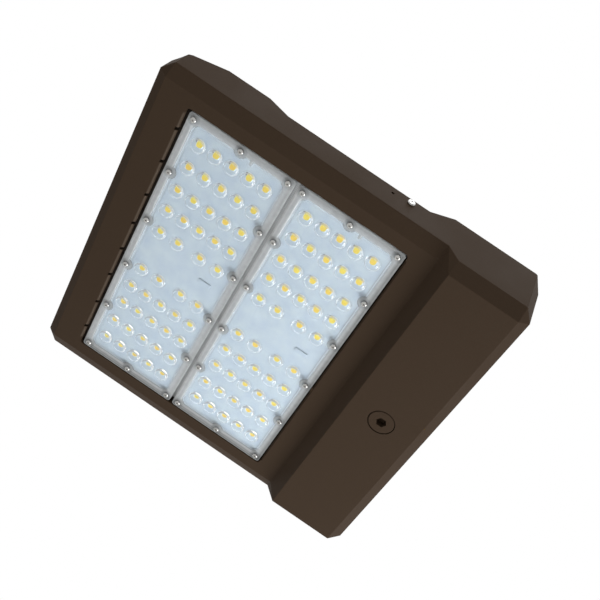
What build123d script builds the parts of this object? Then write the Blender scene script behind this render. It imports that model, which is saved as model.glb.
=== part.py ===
"""Area light head for a pole or wall arm, light side down.

Millimetres. The origin is the centre of the arm's bolt pattern on the outside of
the pole-end wall. +X runs from the pole to the outer end, +Z is up, and the light
leaves along -Z. Heights called "above the face" count from the flat face that
frames the two light modules.
"""
from build123d import *
import math
import os

os.makedirs("parts", exist_ok=True)

# Overall size
LENGTH = 380.0  # pole-end wall to outer end
WIDTH = 363.0
MOUNT_HEIGHT = 20.0  # arm bolt centre above the face
WALL = 3.5  # cast thickness all over
CORNER_X = 10.5  # cut of each plan corner, along the length
CORNER_Y = 12.3
EDGE_ROUND = 1.0  # cast outer edges
FACE = -MOUNT_HEIGHT

# Side outline above the face: high driver box, waist, crest, falling tail
CAP_FOOT = 45.0  # top of the pole-end wall
CAP_RUN = 12.0
DRIVER_TOP = 52.5
RAMP_START = 97.0
WAIST_START = 120.0
WAIST_TOP = 38.0
WAIST_END = LENGTH - 111.5
CREST_START = LENGTH - 88.5
CREST_TOP = 47.0
CREST_END = LENGTH - 45.0
KNEE_X = LENGTH - 13.5
KNEE_TOP = 33.5
TAIL_X = LENGTH - 7.0
TAIL_TOP = 27.0

# Underside: bevels round the face, and the belly under the driver
BEVEL_Y = 13.5  # bevel along the face's long sides
BEVEL_X = 9.0  # bevel at the outer end
BEVEL_RISE = 6.1
BELLY_DROP = 17.5
BELLY_END = 80.2  # where the flat of the belly stops
SLOPE_FOOT = 91.9  # where the slope meets the face
BELLY_BEVEL_Y = 10.0
BELLY_BEVEL_X = 10.7
BELLY_BEVEL_RISE = 11.4
FACET_X = 79.4  # lower end of the slope's cut corner, on the side wall

# Light opening and the two modules in it
OPENING_START = 114.5  # its pole-side edge
FACE_END = 37.7  # face left at the outer end, bevel included
FACE_SIDE = 26.8  # face left along each side, bevel included
GAP_POLE = 1.4  # opening edge to module, pole side
GAP_OUTER = 3.5
GAP_Y = 0.8
MODULE_GAP = 3.4  # between the modules
OPENING_Y = WIDTH - 2 * FACE_SIDE
MODULE_Y = OPENING_Y - 2 * GAP_Y
MODULE_X = (LENGTH - FACE_END - OPENING_START - GAP_POLE - MODULE_GAP - GAP_OUTER) / 2
MODULE_PITCH = MODULE_X + MODULE_GAP
ARRAY_X = OPENING_START + GAP_POLE + MODULE_X + MODULE_GAP / 2  # centre between the modules
MODULE_CORNER = 3.0
OPENING_CORNER = 3.0
OPENING_CHAMFER = 0.3
LIP = 1.6  # slope along the opening's two ends, beside the modules
LIP_END = 6.0  # where it stops short of the opening's corners
NOTCH_YS = [share * OPENING_Y / 2 for share in (0.11, 0.343, 0.604, 0.844)]
NOTCH_WIDTH = 3.4
NOTCH_DEPTH = 3.0
TAB_Y = -30.8  # cast tab on the pole-side edge
TAB_WIDE = 5.0
TAB_OUT = 0.8
TAB_DEEP = 0.6  # below the face

# Module stack above the face
FLANGE_FACE = 0.3
FLANGE = 4.7
OPTIC_SUNK = 0.4  # clear middle behind its flange
OPTIC_SKIN = 2.6
OPTIC_X = MODULE_X / 2 - 7.0  # half sizes of the clear middle
OPTIC_Y = MODULE_Y / 2 - 8.3
OPTIC_CORNER = 8.0
SCALLOP_R = 6.4  # cut in its edge round each screw
DOME_R = 7.2
DOME_H = 3.2
BOARD = 1.6
GASKET_OUT_X = MODULE_X / 2 - 1.55  # half sizes
GASKET_OUT_Y = MODULE_Y / 2 - 1.3
GASKET_WIDTH = 7.0
HOLLOW_X = MODULE_X / 2 - 12.9  # half sizes of the hollow over the board
HOLLOW_Y = MODULE_Y / 2 - 15.0
BOARD_GAP = 0.4
CHIP = 5.0
CHIP_H = 0.7
ARRAY_OFF = 0.8  # middle of the chips and domes from the middle of their module
COLUMN_PITCH = 0.1595 * MODULE_X
PAIR_INNER = 0.1144 * MODULE_X  # columns of the two four-chip rows
PAIR_OUTER = 0.297 * MODULE_X
ROWS = [share * MODULE_Y / 2 for share in (0.1628, 0.3298, 0.489, 0.6657, 0.8321)]

# Lens screws
LENS_SCREW_X = MODULE_X / 2 - 5.75
LENS_SCREW_END = MODULE_Y / 2 - 5.9
LENS_SCREW_YS = [share * LENS_SCREW_END for share in (0.2, 0.6, 1.0)]
M3 = 1.5  # screw radii
M4 = 2.0
M5 = 2.5
LENS_HEAD_R = 2.9
LENS_HEAD_H = 2.2
LENS_SCREW_LONG = 10.3
THREAD_GAP = 0.05
HOLE_GAP = 0.25

# Heat sink
PLATE = 5.0
PLATE_START = 111.0
PLATE_END = LENGTH - 14.0
PLATE_Y = WIDTH - 19.0
FIN_COUNT = 36
FIN_EDGE = 7.5  # outermost fin from the plate's edge
FIN_PITCH = (PLATE_Y - 2 * FIN_EDGE) / (FIN_COUNT - 1)
FIN = 2.2
FIN_START = 125.0
FIN_BELOW = 1.5  # fin tops below the side walls
FIN_BASE_TOP = 30.0  # height of a fin at its pole end
FIN_NOSE = 6.0
SINK_BOSS_R = 5.5
SINK_SCREW_Y = PLATE_Y / 2 - 7.5
SINK_SCREW_XS = (131.0, ARRAY_X, LENGTH - 56.0)
SINK_SCREW_END_X = LENGTH - 27.0
SINK_SCREW_END_Y = 61.1
SINK_HEAD_R = 4.2
SINK_HEAD_H = 3.0
SINK_SCREW_LONG = 7.0
EAR_X = 14.0  # block that takes each side screw
EAR_Y = 10.0
EAR_TOP = 35.5
EAR_GAP = 0.3

# Side screws and the free accessory holes beside them
SIDE_SOCKET_R = 1.4
SIDE_SCREW_X = 137.9
SIDE_SCREW_Z = 30.5
SIDE_HEAD_R = 3.8
SIDE_HEAD_H = 2.4
SIDE_SCREW_LONG = 11.0
ACCESSORY_X = 155.8
ACCESSORY_Z = 28.5
ACCESSORY_R = 1.65

# Driver compartment
PARTITION_X = 103.0
PARTITION_TOP = 40.0
LEDGE = 4.0
SEAL = 1.5  # lid gasket thickness
SEAL_GAP = 0.3
SEAL_WIDTH = 3.0
LID_SKIN = 3.0
LID_GAP = 0.5
LID_TAIL = 117.5  # the lid's free edge over the fins

# Lid hinge
HINGE_X = 113.5
HINGE_Z = 33.0
PIN_R = 2.0
KNUCKLE_R = 4.0
RUN_GAP = 0.08
HINGE_Y = WIDTH / 2 - 51.5
LUG = 6.0
KNUCKLE = 14.0
LUG_GAP = 0.4
PIN_PROUD = 1.0

# Lid screws
LID_SCREW_X = 17.0
LID_SCREW_Y = WIDTH / 2 - 41.5
LID_SCREW_HEAD_R = 4.5
LID_SCREW_HEAD_H = 3.2
LID_SCREW_BITE = 4.0
LID_BOSS_R = 6.0
LID_BOSS_LONG = 18.0
RETAINER_R = 4.5
RETAINER = 1.0
SOCKET_R = 2.0

# Sensor port plug in the belly
PORT_X = 45.0
PLUG_R = 12.7
PLUG_RIM = 0.9  # ring gap round the plug
PLUG_HEAD = 3.0
PLUG_THREAD_R = 10.0
PLUG_LONG = 11.0
PORT_BOSS_R = 17.0
PORT_BOSS_LONG = 12.5
PLUG_SOCKET_R = 5.5
PLUG_SOCKET_DEEP = 7.0
RING_WIRE = 0.85  # radius of the sealing ring's section

# Arm interface
ARM_Y = 90.0
ARM_Z = 20.0
ARM_HOLE_R = 4.3
ARM_PAD_R = 9.0
PAD = 2.0
ENTRY_R = 11.0
ENTRY_LIP_R = 14.0
ENTRY_LIP = 2.0
ENTRY_BORE_R = 6.0

# Gear tray and what stands on it
TRAY_X = (12.0, 82.0)
TRAY_Y = WIDTH - 63.0
TRAY = 1.5
TRAY_H = -3.0  # underside above the face
TRAY_LIP = 8.0
POST_R = 4.5
POST_XS = (20.0, 74.0)
POST_Y = TRAY_Y / 2 - 7.0
TRAY_HEAD_R = 3.6
TRAY_HEAD_H = 2.2
TRAY_SCREW_LONG = 8.0
DRIVER_X = 58.0
DRIVER_Y = TRAY_Y - 110.0  # leaves the terminal block and the leads their room
DRIVER_Z = 33.0
DRIVER_AT = (45.0, 5.0)
DRIVER_ROUND = 3.0
DRIVER_CAP = 10.0  # moulded end caps
DRIVER_FOOT = (20.0, 9.0, 3.0)
DRIVER_SCREW_LONG = 7.0
BLOCK = (34.0, 18.0, 16.0)
EARTH_Y = 6.5 - TRAY_Y / 2
BLOCK_AT = (45.0, EARTH_Y + 22.5)
BLOCK_FOOT = (50.0, 10.0, 3.0)
BLOCK_SCREW_X = 21.0
BLOCK_SCREW_LONG = 6.0
BLOCK_HEAD_R = 2.7
BLOCK_HEAD_H = 1.8
POLES = 3
POLE_PITCH = 10.5
POLE_ROW = 5.0  # half distance between the two rows of terminal screws
POLE_SCREW_R = 2.2
POLE_SCREW_LONG = 4.0
POLE_SCREW_SUNK = 1.0
WIRE_HOLE_R = 1.5
WIRE_HOLE_DEEP = 5.0
LUG_RING_R = 4.4
LUG_SHEET = 1.0
LUG_BARREL_R = 1.7
LUG_BARREL = 5.0

# Leads
LEAD_R = 1.1  # single cores
LEAD_BEND = 4.0
EARTH_BEND = 2.5
EARTH_RUN = 1.2  # straight ends of the short earth lead
LEAD_BLOCK_H = 6.0  # height of the upper wire holes above the tray
LEAD_EARTH_H = 3.5
LEAD_DRIVER_H = 14.0
LEAD_DRIVER_PITCH = 7.0
CABLE_R = 1.5  # two-core leads to the modules
CABLE_Y = 1.7
CABLE_OFF = 9.0  # outer module's lead from the partition, where it runs across
CABLE_STEP = 4.0  # inner module's lead beside it
CABLE_LONG_RUN = {"inner": PARTITION_X - CABLE_OFF - CABLE_STEP, "outer": PARTITION_X - CABLE_OFF}
CABLE_START = {"inner": 62.0, "outer": 56.0}
CABLE_TURN = {"inner": 14.0, "outer": 18.0}  # how far it leaves the driver before it turns
CABLE_BEND = {"inner": 9.0, "outer": 5.2}
GROMMET_Z = 22.0
GROMMET_R = 6.0
GROMMET_LIP_R = 8.5
GROMMET_LIP = 1.5
BUSH_R = 3.4
BUSH_LIP_R = 4.6
BUSH_LIP = 1.0
TERMINAL = (13.0, 5.0, 1.1)
LEAD_EDGE = 8.45  # terminal from the edge of the hollow behind the clear middle
LEAD_X = TERMINAL[0] / 2 + LEAD_EDGE - HOLLOW_X  # lead hole from a module's centre
VENT_Y = -60.0
VENT_R = 6.0
VENT_HEAD_R = 9.0
VENT_HEAD = 5.0
VENT_NUT_R = 8.5
VENT_NUT = 3.0
ACCESSORY_BOSS_R = 5.0
ACCESSORY_BOSS = 4.5

HALF = WIDTH / 2
INNER_Y = HALF - WALL
SLOPE_RUN = SLOPE_FOOT - BELLY_END
SLOPE_LONG = math.hypot(SLOPE_RUN, BELLY_DROP)
BAY_START = PARTITION_X + WALL
SINK_FACE = FLANGE_FACE + FLANGE + BOARD
PLATE_TOP = SINK_FACE + PLATE
OPENING_X = (OPENING_START, LENGTH - FACE_END)
MODULES = {"inner": ARRAY_X - MODULE_PITCH / 2, "outer": ARRAY_X + MODULE_PITCH / 2}
LENS_SCREWS = [(sx * LENS_SCREW_X, sy * y) for sx in (-1, 1) for sy in (-1, 1) for y in LENS_SCREW_YS]
LENS_SCREWS += [(0, -LENS_SCREW_YS[-1]), (0, LENS_SCREW_YS[-1])]
CHIPS = [(COLUMN_PITCH * c, s * y) for y in ROWS[1:] for s in (-1, 1) for c in (-2, -1, 0, 1, 2)]
CHIPS += [(x, s * ROWS[0]) for s in (-1, 1) for x in (-PAIR_OUTER, -PAIR_INNER, PAIR_INNER, PAIR_OUTER)]
SINK_SCREWS = [(x, s * SINK_SCREW_Y) for x in SINK_SCREW_XS for s in (-1, 1)]
SINK_SCREWS += [(SINK_SCREW_END_X, -SINK_SCREW_END_Y), (SINK_SCREW_END_X, SINK_SCREW_END_Y)]
POSTS = [(x, s * POST_Y) for x in POST_XS for s in (-1, 1)]
SEAT_TOP = TRAY_H + TRAY
LID_SCREWS = [(LID_SCREW_X, -LID_SCREW_Y), (LID_SCREW_X, LID_SCREW_Y)]
LUG_STEP = (KNUCKLE + LUG) / 2 + LUG_GAP
LUG_YS = [s * HINGE_Y + t * LUG_STEP for s in (-1, 1) for t in (-1, 1)]
FIN_YS = [(i - (FIN_COUNT - 1) / 2) * FIN_PITCH for i in range(FIN_COUNT)]
PLUG_SEAT = 2 * RING_WIRE + 0.3  # room for the sealing ring under the plug's head
END_WALL = Plane(origin=(0, 0, 0), x_dir=(0, 1, 0), z_dir=(1, 0, 0))
CABLES = {"inner": -CABLE_Y, "outer": CABLE_Y}
BUSHES = [(MODULES[name] + LEAD_X, y) for name, y in CABLES.items()]
DOME_BALL = (DOME_R ** 2 + DOME_H ** 2) / (2 * DOME_H)
DOME_HALF_ANGLE = math.asin(DOME_R / DOME_BALL) / 2
DRIVER_FACE = (DRIVER_AT[1] - DRIVER_Y / 2, DRIVER_AT[1] + DRIVER_Y / 2)
DRIVER_SCREWS = [(DRIVER_AT[0], DRIVER_AT[1] + s * (DRIVER_Y + DRIVER_FOOT[1]) / 2) for s in (-1, 1)]
BLOCK_SCREWS = [(BLOCK_AT[0] + s * BLOCK_SCREW_X, BLOCK_AT[1]) for s in (-1, 1)]
BLOCK_TOP = SEAT_TOP + BLOCK[2]
POLE_XS = [BLOCK_AT[0] + (i - (POLES - 1) / 2) * POLE_PITCH for i in range(POLES)]
EARTH_AT = (POLE_XS[-1], EARTH_Y)
SKIRT_FOOT = PARTITION_TOP + SEAL + 0.05
LID_IN = WALL + LID_GAP
LID_END = BAY_START - LID_GAP
PARTITION = Plane(origin=(PARTITION_X, 0, FACE), x_dir=(0, 1, 0), z_dir=(1, 0, 0))


def level(height):
    """Horizontal plane at a height above the face."""
    return Plane.XY.offset(FACE + height)


def on_side(s, x, height, out=HALF):
    """Plane on the outside of one side wall, centred on a point of it."""
    return Plane(origin=(x, s * out, FACE + height), x_dir=(-s, 0, 0), z_dir=(0, s, 0))


def across(y):
    """Upright lengthwise planes whose extrusion runs towards -Y."""
    return Plane.XZ.offset(-y)


def save(part, name):
    part.label = name
    export_step(part, f"parts/{name}.step")


def outer_plane(a, b, c, inside):
    """Plane through three points of the outside (x, y, height), its normal away from a point inside."""
    a, b, c, inside = (Vector(p[0], p[1], FACE + p[2]) for p in (a, b, c, inside))
    normal = (b - a).cross(c - a)
    if normal.dot(inside - a) > 0:
        normal = -normal
    return Plane(origin=a, x_dir=b - a, z_dir=normal)


def top_line(drop=0.0, start=0.0, end=LENGTH):
    """Side outline of the walls from one station to another, lowered by drop."""
    knots = [(0, CAP_FOOT), (CAP_RUN, DRIVER_TOP), (RAMP_START, DRIVER_TOP), (WAIST_START, WAIST_TOP),
             (WAIST_END, WAIST_TOP), (CREST_START, CREST_TOP), (CREST_END, CREST_TOP),
             (KNEE_X, KNEE_TOP), (TAIL_X, TAIL_TOP), (LENGTH, TAIL_TOP)]

    def height(x):
        for (x0, z0), (x1, z1) in zip(knots, knots[1:]):
            if x0 <= x <= x1:
                return z0 + (z1 - z0) * (x - x0) / (x1 - x0)
        raise ValueError("station outside the head")

    middle = [(x, z - drop) for x, z in knots if start < x < end]
    return [(start, height(start) - drop)] + middle + [(end, height(end) - drop)]


CENTRE = (LENGTH / 2, 0, CREST_TOP)


def bay_planes():
    """Bevels of the face: both long sides, the outer end and its two corners."""
    rim_y = HALF - BEVEL_Y
    rim_x = LENGTH - BEVEL_X
    planes = [outer_plane((rim_x, 0, 0), (rim_x, 9, 0), (LENGTH, 0, BEVEL_RISE), CENTRE)]
    for s in (-1, 1):
        planes.append(outer_plane((0, s * rim_y, 0), (9, s * rim_y, 0), (0, s * HALF, BEVEL_RISE), CENTRE))
        planes.append(outer_plane((rim_x, s * rim_y, 0), (LENGTH - CORNER_X, s * HALF, BEVEL_RISE),
                                  (LENGTH, s * (HALF - CORNER_Y), BEVEL_RISE), CENTRE))
    return planes


def belly_planes():
    """Slope, pole-end bevel, side bevels, cut corners of the slope and corner facets."""
    low = -BELLY_DROP
    rim = low + BELLY_BEVEL_RISE
    rim_y = HALF - BELLY_BEVEL_Y
    planes = [outer_plane((SLOPE_FOOT, 0, 0), (SLOPE_FOOT, 9, 0), (BELLY_END, 0, low), (0, 0, 0)),
              outer_plane((BELLY_BEVEL_X, 0, low), (BELLY_BEVEL_X, 9, low), (0, 0, rim), CENTRE)]
    for s in (-1, 1):
        foot = (SLOPE_FOOT, s * (HALF - BEVEL_Y), 0)
        wall_foot = (SLOPE_FOOT, s * HALF, BEVEL_RISE)
        toe = (BELLY_END, s * rim_y, low)
        wall_toe = (FACET_X, s * HALF, rim)
        within = (BELLY_END / 2, 0, BEVEL_RISE)
        planes.append(outer_plane((0, s * rim_y, low), (9, s * rim_y, low), (0, s * HALF, rim), within))
        planes.append(outer_plane(foot, wall_foot, toe, within))
        planes.append(outer_plane(wall_foot, toe, wall_toe, within))
        planes.append(outer_plane((BELLY_BEVEL_X, s * rim_y, low), (CORNER_X, s * HALF, rim),
                                  (0, s * (HALF - CORNER_Y), rim), within))
    return planes


def plan_outline(inset, start, end):
    """Plan of the head from one station to another, corners cut, pulled in by inset."""
    corners = [(0, HALF - CORNER_Y), (CORNER_X, HALF), (LENGTH - CORNER_X, HALF), (LENGTH, HALF - CORNER_Y)]
    corners += [(x, -y) for x, y in reversed(corners)]
    with BuildSketch(mode=Mode.PRIVATE) as plan:
        Polygon(*corners, align=None)
        if inset:
            offset(amount=-inset, kind=Kind.INTERSECTION)
        with Locations(((start + end) / 2, 0)):
            Rectangle(end - start, WIDTH, mode=Mode.INTERSECT)
    return plan.sketch


def casting_block(inset, start, end, floor, planes, top=DRIVER_TOP + 9):
    """Body of the casting between two stations, with its bevels, all faces pulled in by inset."""
    with BuildPart() as block:
        with BuildSketch(level(floor + inset)):
            add(plan_outline(inset, start, end))
        extrude(amount=top - floor - inset)
        for plane in planes:
            split(bisect_by=plane.offset(-inset), keep=Keep.BOTTOM)
    return block.part


def screw(places, floor, shank_r, long, head_r, head_h, socket_r=0.0):
    """Domed screws standing head down, their heads on the level called floor."""
    with BuildPart() as screws:
        with BuildSketch(level(floor)):
            with Locations(*places):
                Circle(shank_r)
        extrude(amount=long)
        with BuildSketch(level(floor)):
            with Locations(*places):
                Circle(head_r)
        extrude(amount=-head_h)
        rims = screws.edges().filter_by(GeomType.CIRCLE).filter_by_position(
            Axis.Z, FACE + floor - head_h, FACE + floor - head_h)
        fillet(rims, radius=head_h * 0.55)
        if socket_r:
            with BuildSketch(level(floor - head_h)):
                with Locations(*places):
                    RegularPolygon(socket_r, 6)
            extrude(amount=head_h * 0.6, mode=Mode.SUBTRACT)
    return screws.part


def screw_down(places, floor, shank_r, long, head_r, head_h, socket_r=0.0):
    """The same screws turned over: heads up, on the level called floor, shanks down."""
    up = screw(places, 0.0, shank_r, long, head_r, head_h, socket_r)
    flipped = up.mirror(Plane.XY.offset(FACE))
    return flipped.moved(Location((0, 0, floor)))


# Housing: one casting with face, slope, belly, walls and partition
slope_inset = WALL * (SLOPE_LONG - SLOPE_RUN) / BELLY_DROP  # where the insides of slope and face meet
with BuildPart() as housing:
    add(casting_block(0, SLOPE_FOOT, LENGTH, 0, bay_planes()))
    add(casting_block(0, 0, SLOPE_FOOT, -BELLY_DROP, belly_planes()))
    with BuildSketch(Plane.XZ):
        outline = [(0, -BELLY_DROP - WALL)] + top_line() + [(LENGTH, -BELLY_DROP - WALL)]
        Polygon(*[(x, FACE + z) for x, z in outline], align=None)
    extrude(amount=WIDTH, both=True, mode=Mode.INTERSECT)
    outer = housing.edges().filter_by(lambda e: e.center().Z < FACE + CAP_FOOT - MOUNT_HEIGHT)
    fillet(outer, radius=EDGE_ROUND)
    # Driver compartment, down into the belly
    add(casting_block(WALL, WALL, SLOPE_FOOT, -BELLY_DROP, belly_planes()), mode=Mode.SUBTRACT)
    add(casting_block(WALL, SLOPE_FOOT - slope_inset, PARTITION_X, 0, bay_planes()), mode=Mode.SUBTRACT)
    # Heat sink bay
    add(casting_block(WALL, BAY_START, LENGTH, 0, bay_planes()), mode=Mode.SUBTRACT)
    with BuildSketch(level(PARTITION_TOP)):
        with Locations((BAY_START - WALL / 2, 0)):
            Rectangle(WALL, 2 * INNER_Y)
    extrude(amount=DRIVER_TOP, mode=Mode.SUBTRACT)
    # Seat of the lid gasket: a ledge inside three walls and the top of the partition
    with BuildSketch(level(PARTITION_TOP - LEDGE)):
        add(plan_outline(WALL, WALL, PARTITION_X))
        add(plan_outline(WALL + LEDGE, WALL + LEDGE, PARTITION_X), mode=Mode.SUBTRACT)
    extrude(amount=LEDGE)
    # Light opening with its notched outer lip
    with BuildSketch(level(0)):
        with Locations((sum(OPENING_X) / 2, 0)):
            RectangleRounded(OPENING_X[1] - OPENING_X[0], OPENING_Y, OPENING_CORNER)
    extrude(amount=WALL, mode=Mode.SUBTRACT)
    lip = housing.edges().filter_by_position(Axis.Z, FACE, FACE)
    lip = lip.filter_by(lambda e: OPENING_X[0] - 1 < e.center().X < OPENING_X[1] + 1)
    lip = lip.filter_by(lambda e: abs(e.center().Y) < OPENING_Y / 2 + 1)
    chamfer(lip, length=OPENING_CHAMFER)
    with BuildSketch(Plane.XZ):
        for edge, out in zip(OPENING_X, (-LIP, LIP)):
            Polygon((edge, FACE), (edge + out, FACE), (edge, FACE + LIP), align=None)
    extrude(amount=OPENING_Y / 2 - LIP_END, both=True, mode=Mode.SUBTRACT)
    with BuildSketch(level(0)):
        with Locations(*[(OPENING_X[1], s * y) for y in NOTCH_YS for s in (-1, 1)]):
            Rectangle(2 * NOTCH_DEPTH, NOTCH_WIDTH)
    extrude(amount=WALL, mode=Mode.SUBTRACT)
    with BuildSketch(level(TAB_DEEP)):
        with Locations((OPENING_X[0] + (TAB_OUT - LIP) / 2, TAB_Y)):
            Rectangle(TAB_OUT + LIP, TAB_WIDE)
    extrude(amount=WALL - TAB_DEEP)
    # Bosses: heat sink, gear tray, sensor port, lid screws
    with BuildSketch(level(WALL / 2)):
        with Locations(*SINK_SCREWS):
            Circle(SINK_BOSS_R)
    extrude(amount=SINK_FACE - WALL / 2)
    with BuildSketch(level(WALL / 2 - BELLY_DROP)):
        with Locations(*POSTS):
            Circle(POST_R)
    extrude(amount=TRAY_H + BELLY_DROP - WALL / 2)
    with BuildSketch(level(WALL / 2 - BELLY_DROP)):
        with Locations((PORT_X, 0)):
            Circle(PORT_BOSS_R)
    extrude(amount=PORT_BOSS_LONG - WALL / 2)
    with BuildSketch(level(PARTITION_TOP - LID_BOSS_LONG)):
        with Locations(*LID_SCREWS):
            Circle(LID_BOSS_R)
        with Locations(*[((WALL / 2 + x) / 2, y) for x, y in LID_SCREWS]):
            Rectangle(LID_SCREW_X - WALL / 2, LID_BOSS_R)
    extrude(amount=LID_BOSS_LONG)
    # Hinge lugs on the bay side of the partition
    for y in LUG_YS:
        with BuildSketch(across(y + LUG / 2)):
            with Locations((HINGE_X, FACE + HINGE_Z)):
                Circle(KNUCKLE_R)
            with Locations(((PARTITION_X + HINGE_X) / 2 + WALL / 4, FACE + HINGE_Z)):
                Rectangle(HINGE_X - PARTITION_X - WALL / 2, 2 * KNUCKLE_R)
        extrude(amount=LUG)
        with BuildSketch(across(y + LUG / 2)):
            with Locations((HINGE_X, FACE + HINGE_Z)):
                Circle(PIN_R)
        extrude(amount=LUG, mode=Mode.SUBTRACT)
    # Threaded holes in the bosses
    with BuildSketch(level(SINK_FACE)):
        with Locations(*SINK_SCREWS):
            Circle(M5 + THREAD_GAP)
    extrude(amount=PLATE - SINK_SCREW_LONG - THREAD_GAP, mode=Mode.SUBTRACT)
    with BuildSketch(level(TRAY_H)):
        with Locations(*POSTS):
            Circle(M4 + THREAD_GAP)
    extrude(amount=TRAY - TRAY_SCREW_LONG - THREAD_GAP, mode=Mode.SUBTRACT)
    with BuildSketch(level(PARTITION_TOP)):
        with Locations(*LID_SCREWS):
            Circle(M5 + HOLE_GAP)
    extrude(amount=-LID_BOSS_LONG / 2, mode=Mode.SUBTRACT)
    # Sensor port: recess for the plug's head and a threaded bore
    with BuildSketch(level(-BELLY_DROP)):
        with Locations((PORT_X, 0)):
            Circle(PLUG_R + PLUG_RIM)
    extrude(amount=PLUG_HEAD + PLUG_SEAT, mode=Mode.SUBTRACT)
    with BuildSketch(level(-BELLY_DROP)):
        with Locations((PORT_X, 0)):
            Circle(PLUG_THREAD_R + THREAD_GAP)
    extrude(amount=PORT_BOSS_LONG, mode=Mode.SUBTRACT)
    # Pole-end wall: pads, bolt holes and the supply entry
    with BuildSketch(END_WALL.offset(WALL / 2)):
        with GridLocations(ARM_Y, ARM_Z, 2, 2):
            Circle(ARM_PAD_R)
        Circle(ENTRY_LIP_R + PAD)
    extrude(amount=WALL / 2 + PAD)
    with BuildSketch(END_WALL):
        with GridLocations(ARM_Y, ARM_Z, 2, 2):
            Circle(ARM_HOLE_R)
        Circle(ENTRY_R)
    extrude(amount=WALL + PAD, mode=Mode.SUBTRACT)
    with BuildSketch(END_WALL):
        Circle(ENTRY_LIP_R)
    extrude(amount=ENTRY_LIP, mode=Mode.SUBTRACT)
    # Partition: lead grommet and breather
    with BuildSketch(PARTITION):
        with Locations((0, GROMMET_Z)):
            Circle(GROMMET_R)
        with Locations((VENT_Y, GROMMET_Z)):
            Circle(VENT_R)
    extrude(amount=WALL, mode=Mode.SUBTRACT)
    # Side walls: screw holes and bossed accessory holes
    for s in (-1, 1):
        with BuildSketch(on_side(s, ACCESSORY_X, ACCESSORY_Z, INNER_Y + WALL / 2)):
            Circle(ACCESSORY_BOSS_R)
        extrude(amount=-WALL / 2 - ACCESSORY_BOSS)
        with BuildSketch(on_side(s, ACCESSORY_X, ACCESSORY_Z)):
            Circle(ACCESSORY_R)
        extrude(amount=-WALL - ACCESSORY_BOSS, mode=Mode.SUBTRACT)
        with BuildSketch(on_side(s, SIDE_SCREW_X, SIDE_SCREW_Z)):
            Circle(M4 + HOLE_GAP)
        extrude(amount=-WALL, mode=Mode.SUBTRACT)
save(housing.part, "housing")

# Heat sink: plate with lengthwise fins that follow the walls' outline
with BuildPart() as heat_sink:
    with BuildSketch(level(SINK_FACE)):
        with Locations(((PLATE_START + PLATE_END) / 2, 0)):
            Rectangle(PLATE_END - PLATE_START, PLATE_Y)
    extrude(amount=PLATE)
    with BuildSketch(*[across(y + FIN / 2) for y in FIN_YS]):
        fin = [(FIN_START, PLATE_TOP - FIN), (FIN_START, FIN_BASE_TOP)]
        fin += top_line(FIN_BELOW, FIN_START + FIN_NOSE, PLATE_END) + [(PLATE_END, PLATE_TOP - FIN)]
        Polygon(*[(x, FACE + z) for x, z in fin], align=None)
    extrude(amount=FIN)
    for s in (-1, 1):
        with BuildSketch(on_side(s, SIDE_SCREW_X, (PLATE_TOP + EAR_TOP) / 2, INNER_Y - EAR_GAP)):
            Rectangle(EAR_X, EAR_TOP - PLATE_TOP + FIN)
        extrude(amount=-EAR_Y)
        with BuildSketch(on_side(s, SIDE_SCREW_X, SIDE_SCREW_Z)):
            Circle(M4 + THREAD_GAP)
        extrude(amount=-SIDE_SCREW_LONG - THREAD_GAP, mode=Mode.SUBTRACT)
    with BuildSketch(level(PLATE_TOP)):
        with Locations(*SINK_SCREWS):
            Circle(SINK_HEAD_R + 1)
        with Locations(*BUSHES):
            Circle(BUSH_LIP_R + 0.5)
    extrude(amount=DRIVER_TOP, mode=Mode.SUBTRACT)
    with BuildSketch(level(SINK_FACE)):
        with Locations(*SINK_SCREWS):
            Circle(M5 + HOLE_GAP)
        with Locations(*BUSHES):
            Circle(BUSH_R)
    extrude(amount=PLATE, mode=Mode.SUBTRACT)
    with BuildSketch(level(SINK_FACE)):
        with Locations(*[(x, 0) for x in MODULES.values()]):
            with Locations(*LENS_SCREWS):
                Circle(M3 + THREAD_GAP)
    extrude(amount=FLANGE_FACE + LENS_SCREW_LONG - SINK_FACE + THREAD_GAP, mode=Mode.SUBTRACT)
save(heat_sink.part, "heat_sink")
save(screw_down(SINK_SCREWS, PLATE_TOP, M5, SINK_SCREW_LONG, SINK_HEAD_R, SINK_HEAD_H, 2.2),
     "heat_sink_screws")


def rounded(half_x, half_y, corner):
    """Rounded rectangle given by its half sizes, in the current sketch."""
    RectangleRounded(2 * half_x, 2 * half_y, corner)


# Light modules: lens plate, gasket, board, chips, terminal and lead bush, twice
with BuildPart() as dome:
    with BuildSketch(Plane.XZ):
        with BuildLine():
            ThreePointArc((0, -DOME_H),
                          (DOME_BALL * math.sin(DOME_HALF_ANGLE),
                           DOME_BALL * (1 - math.cos(DOME_HALF_ANGLE)) - DOME_H),
                          (DOME_R, 0))
            Polyline((DOME_R, 0), (DOME_R, OPTIC_SKIN / 2), (0, OPTIC_SKIN / 2), (0, -DOME_H))
        make_face()
    revolve(axis=Axis.Z)

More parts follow.
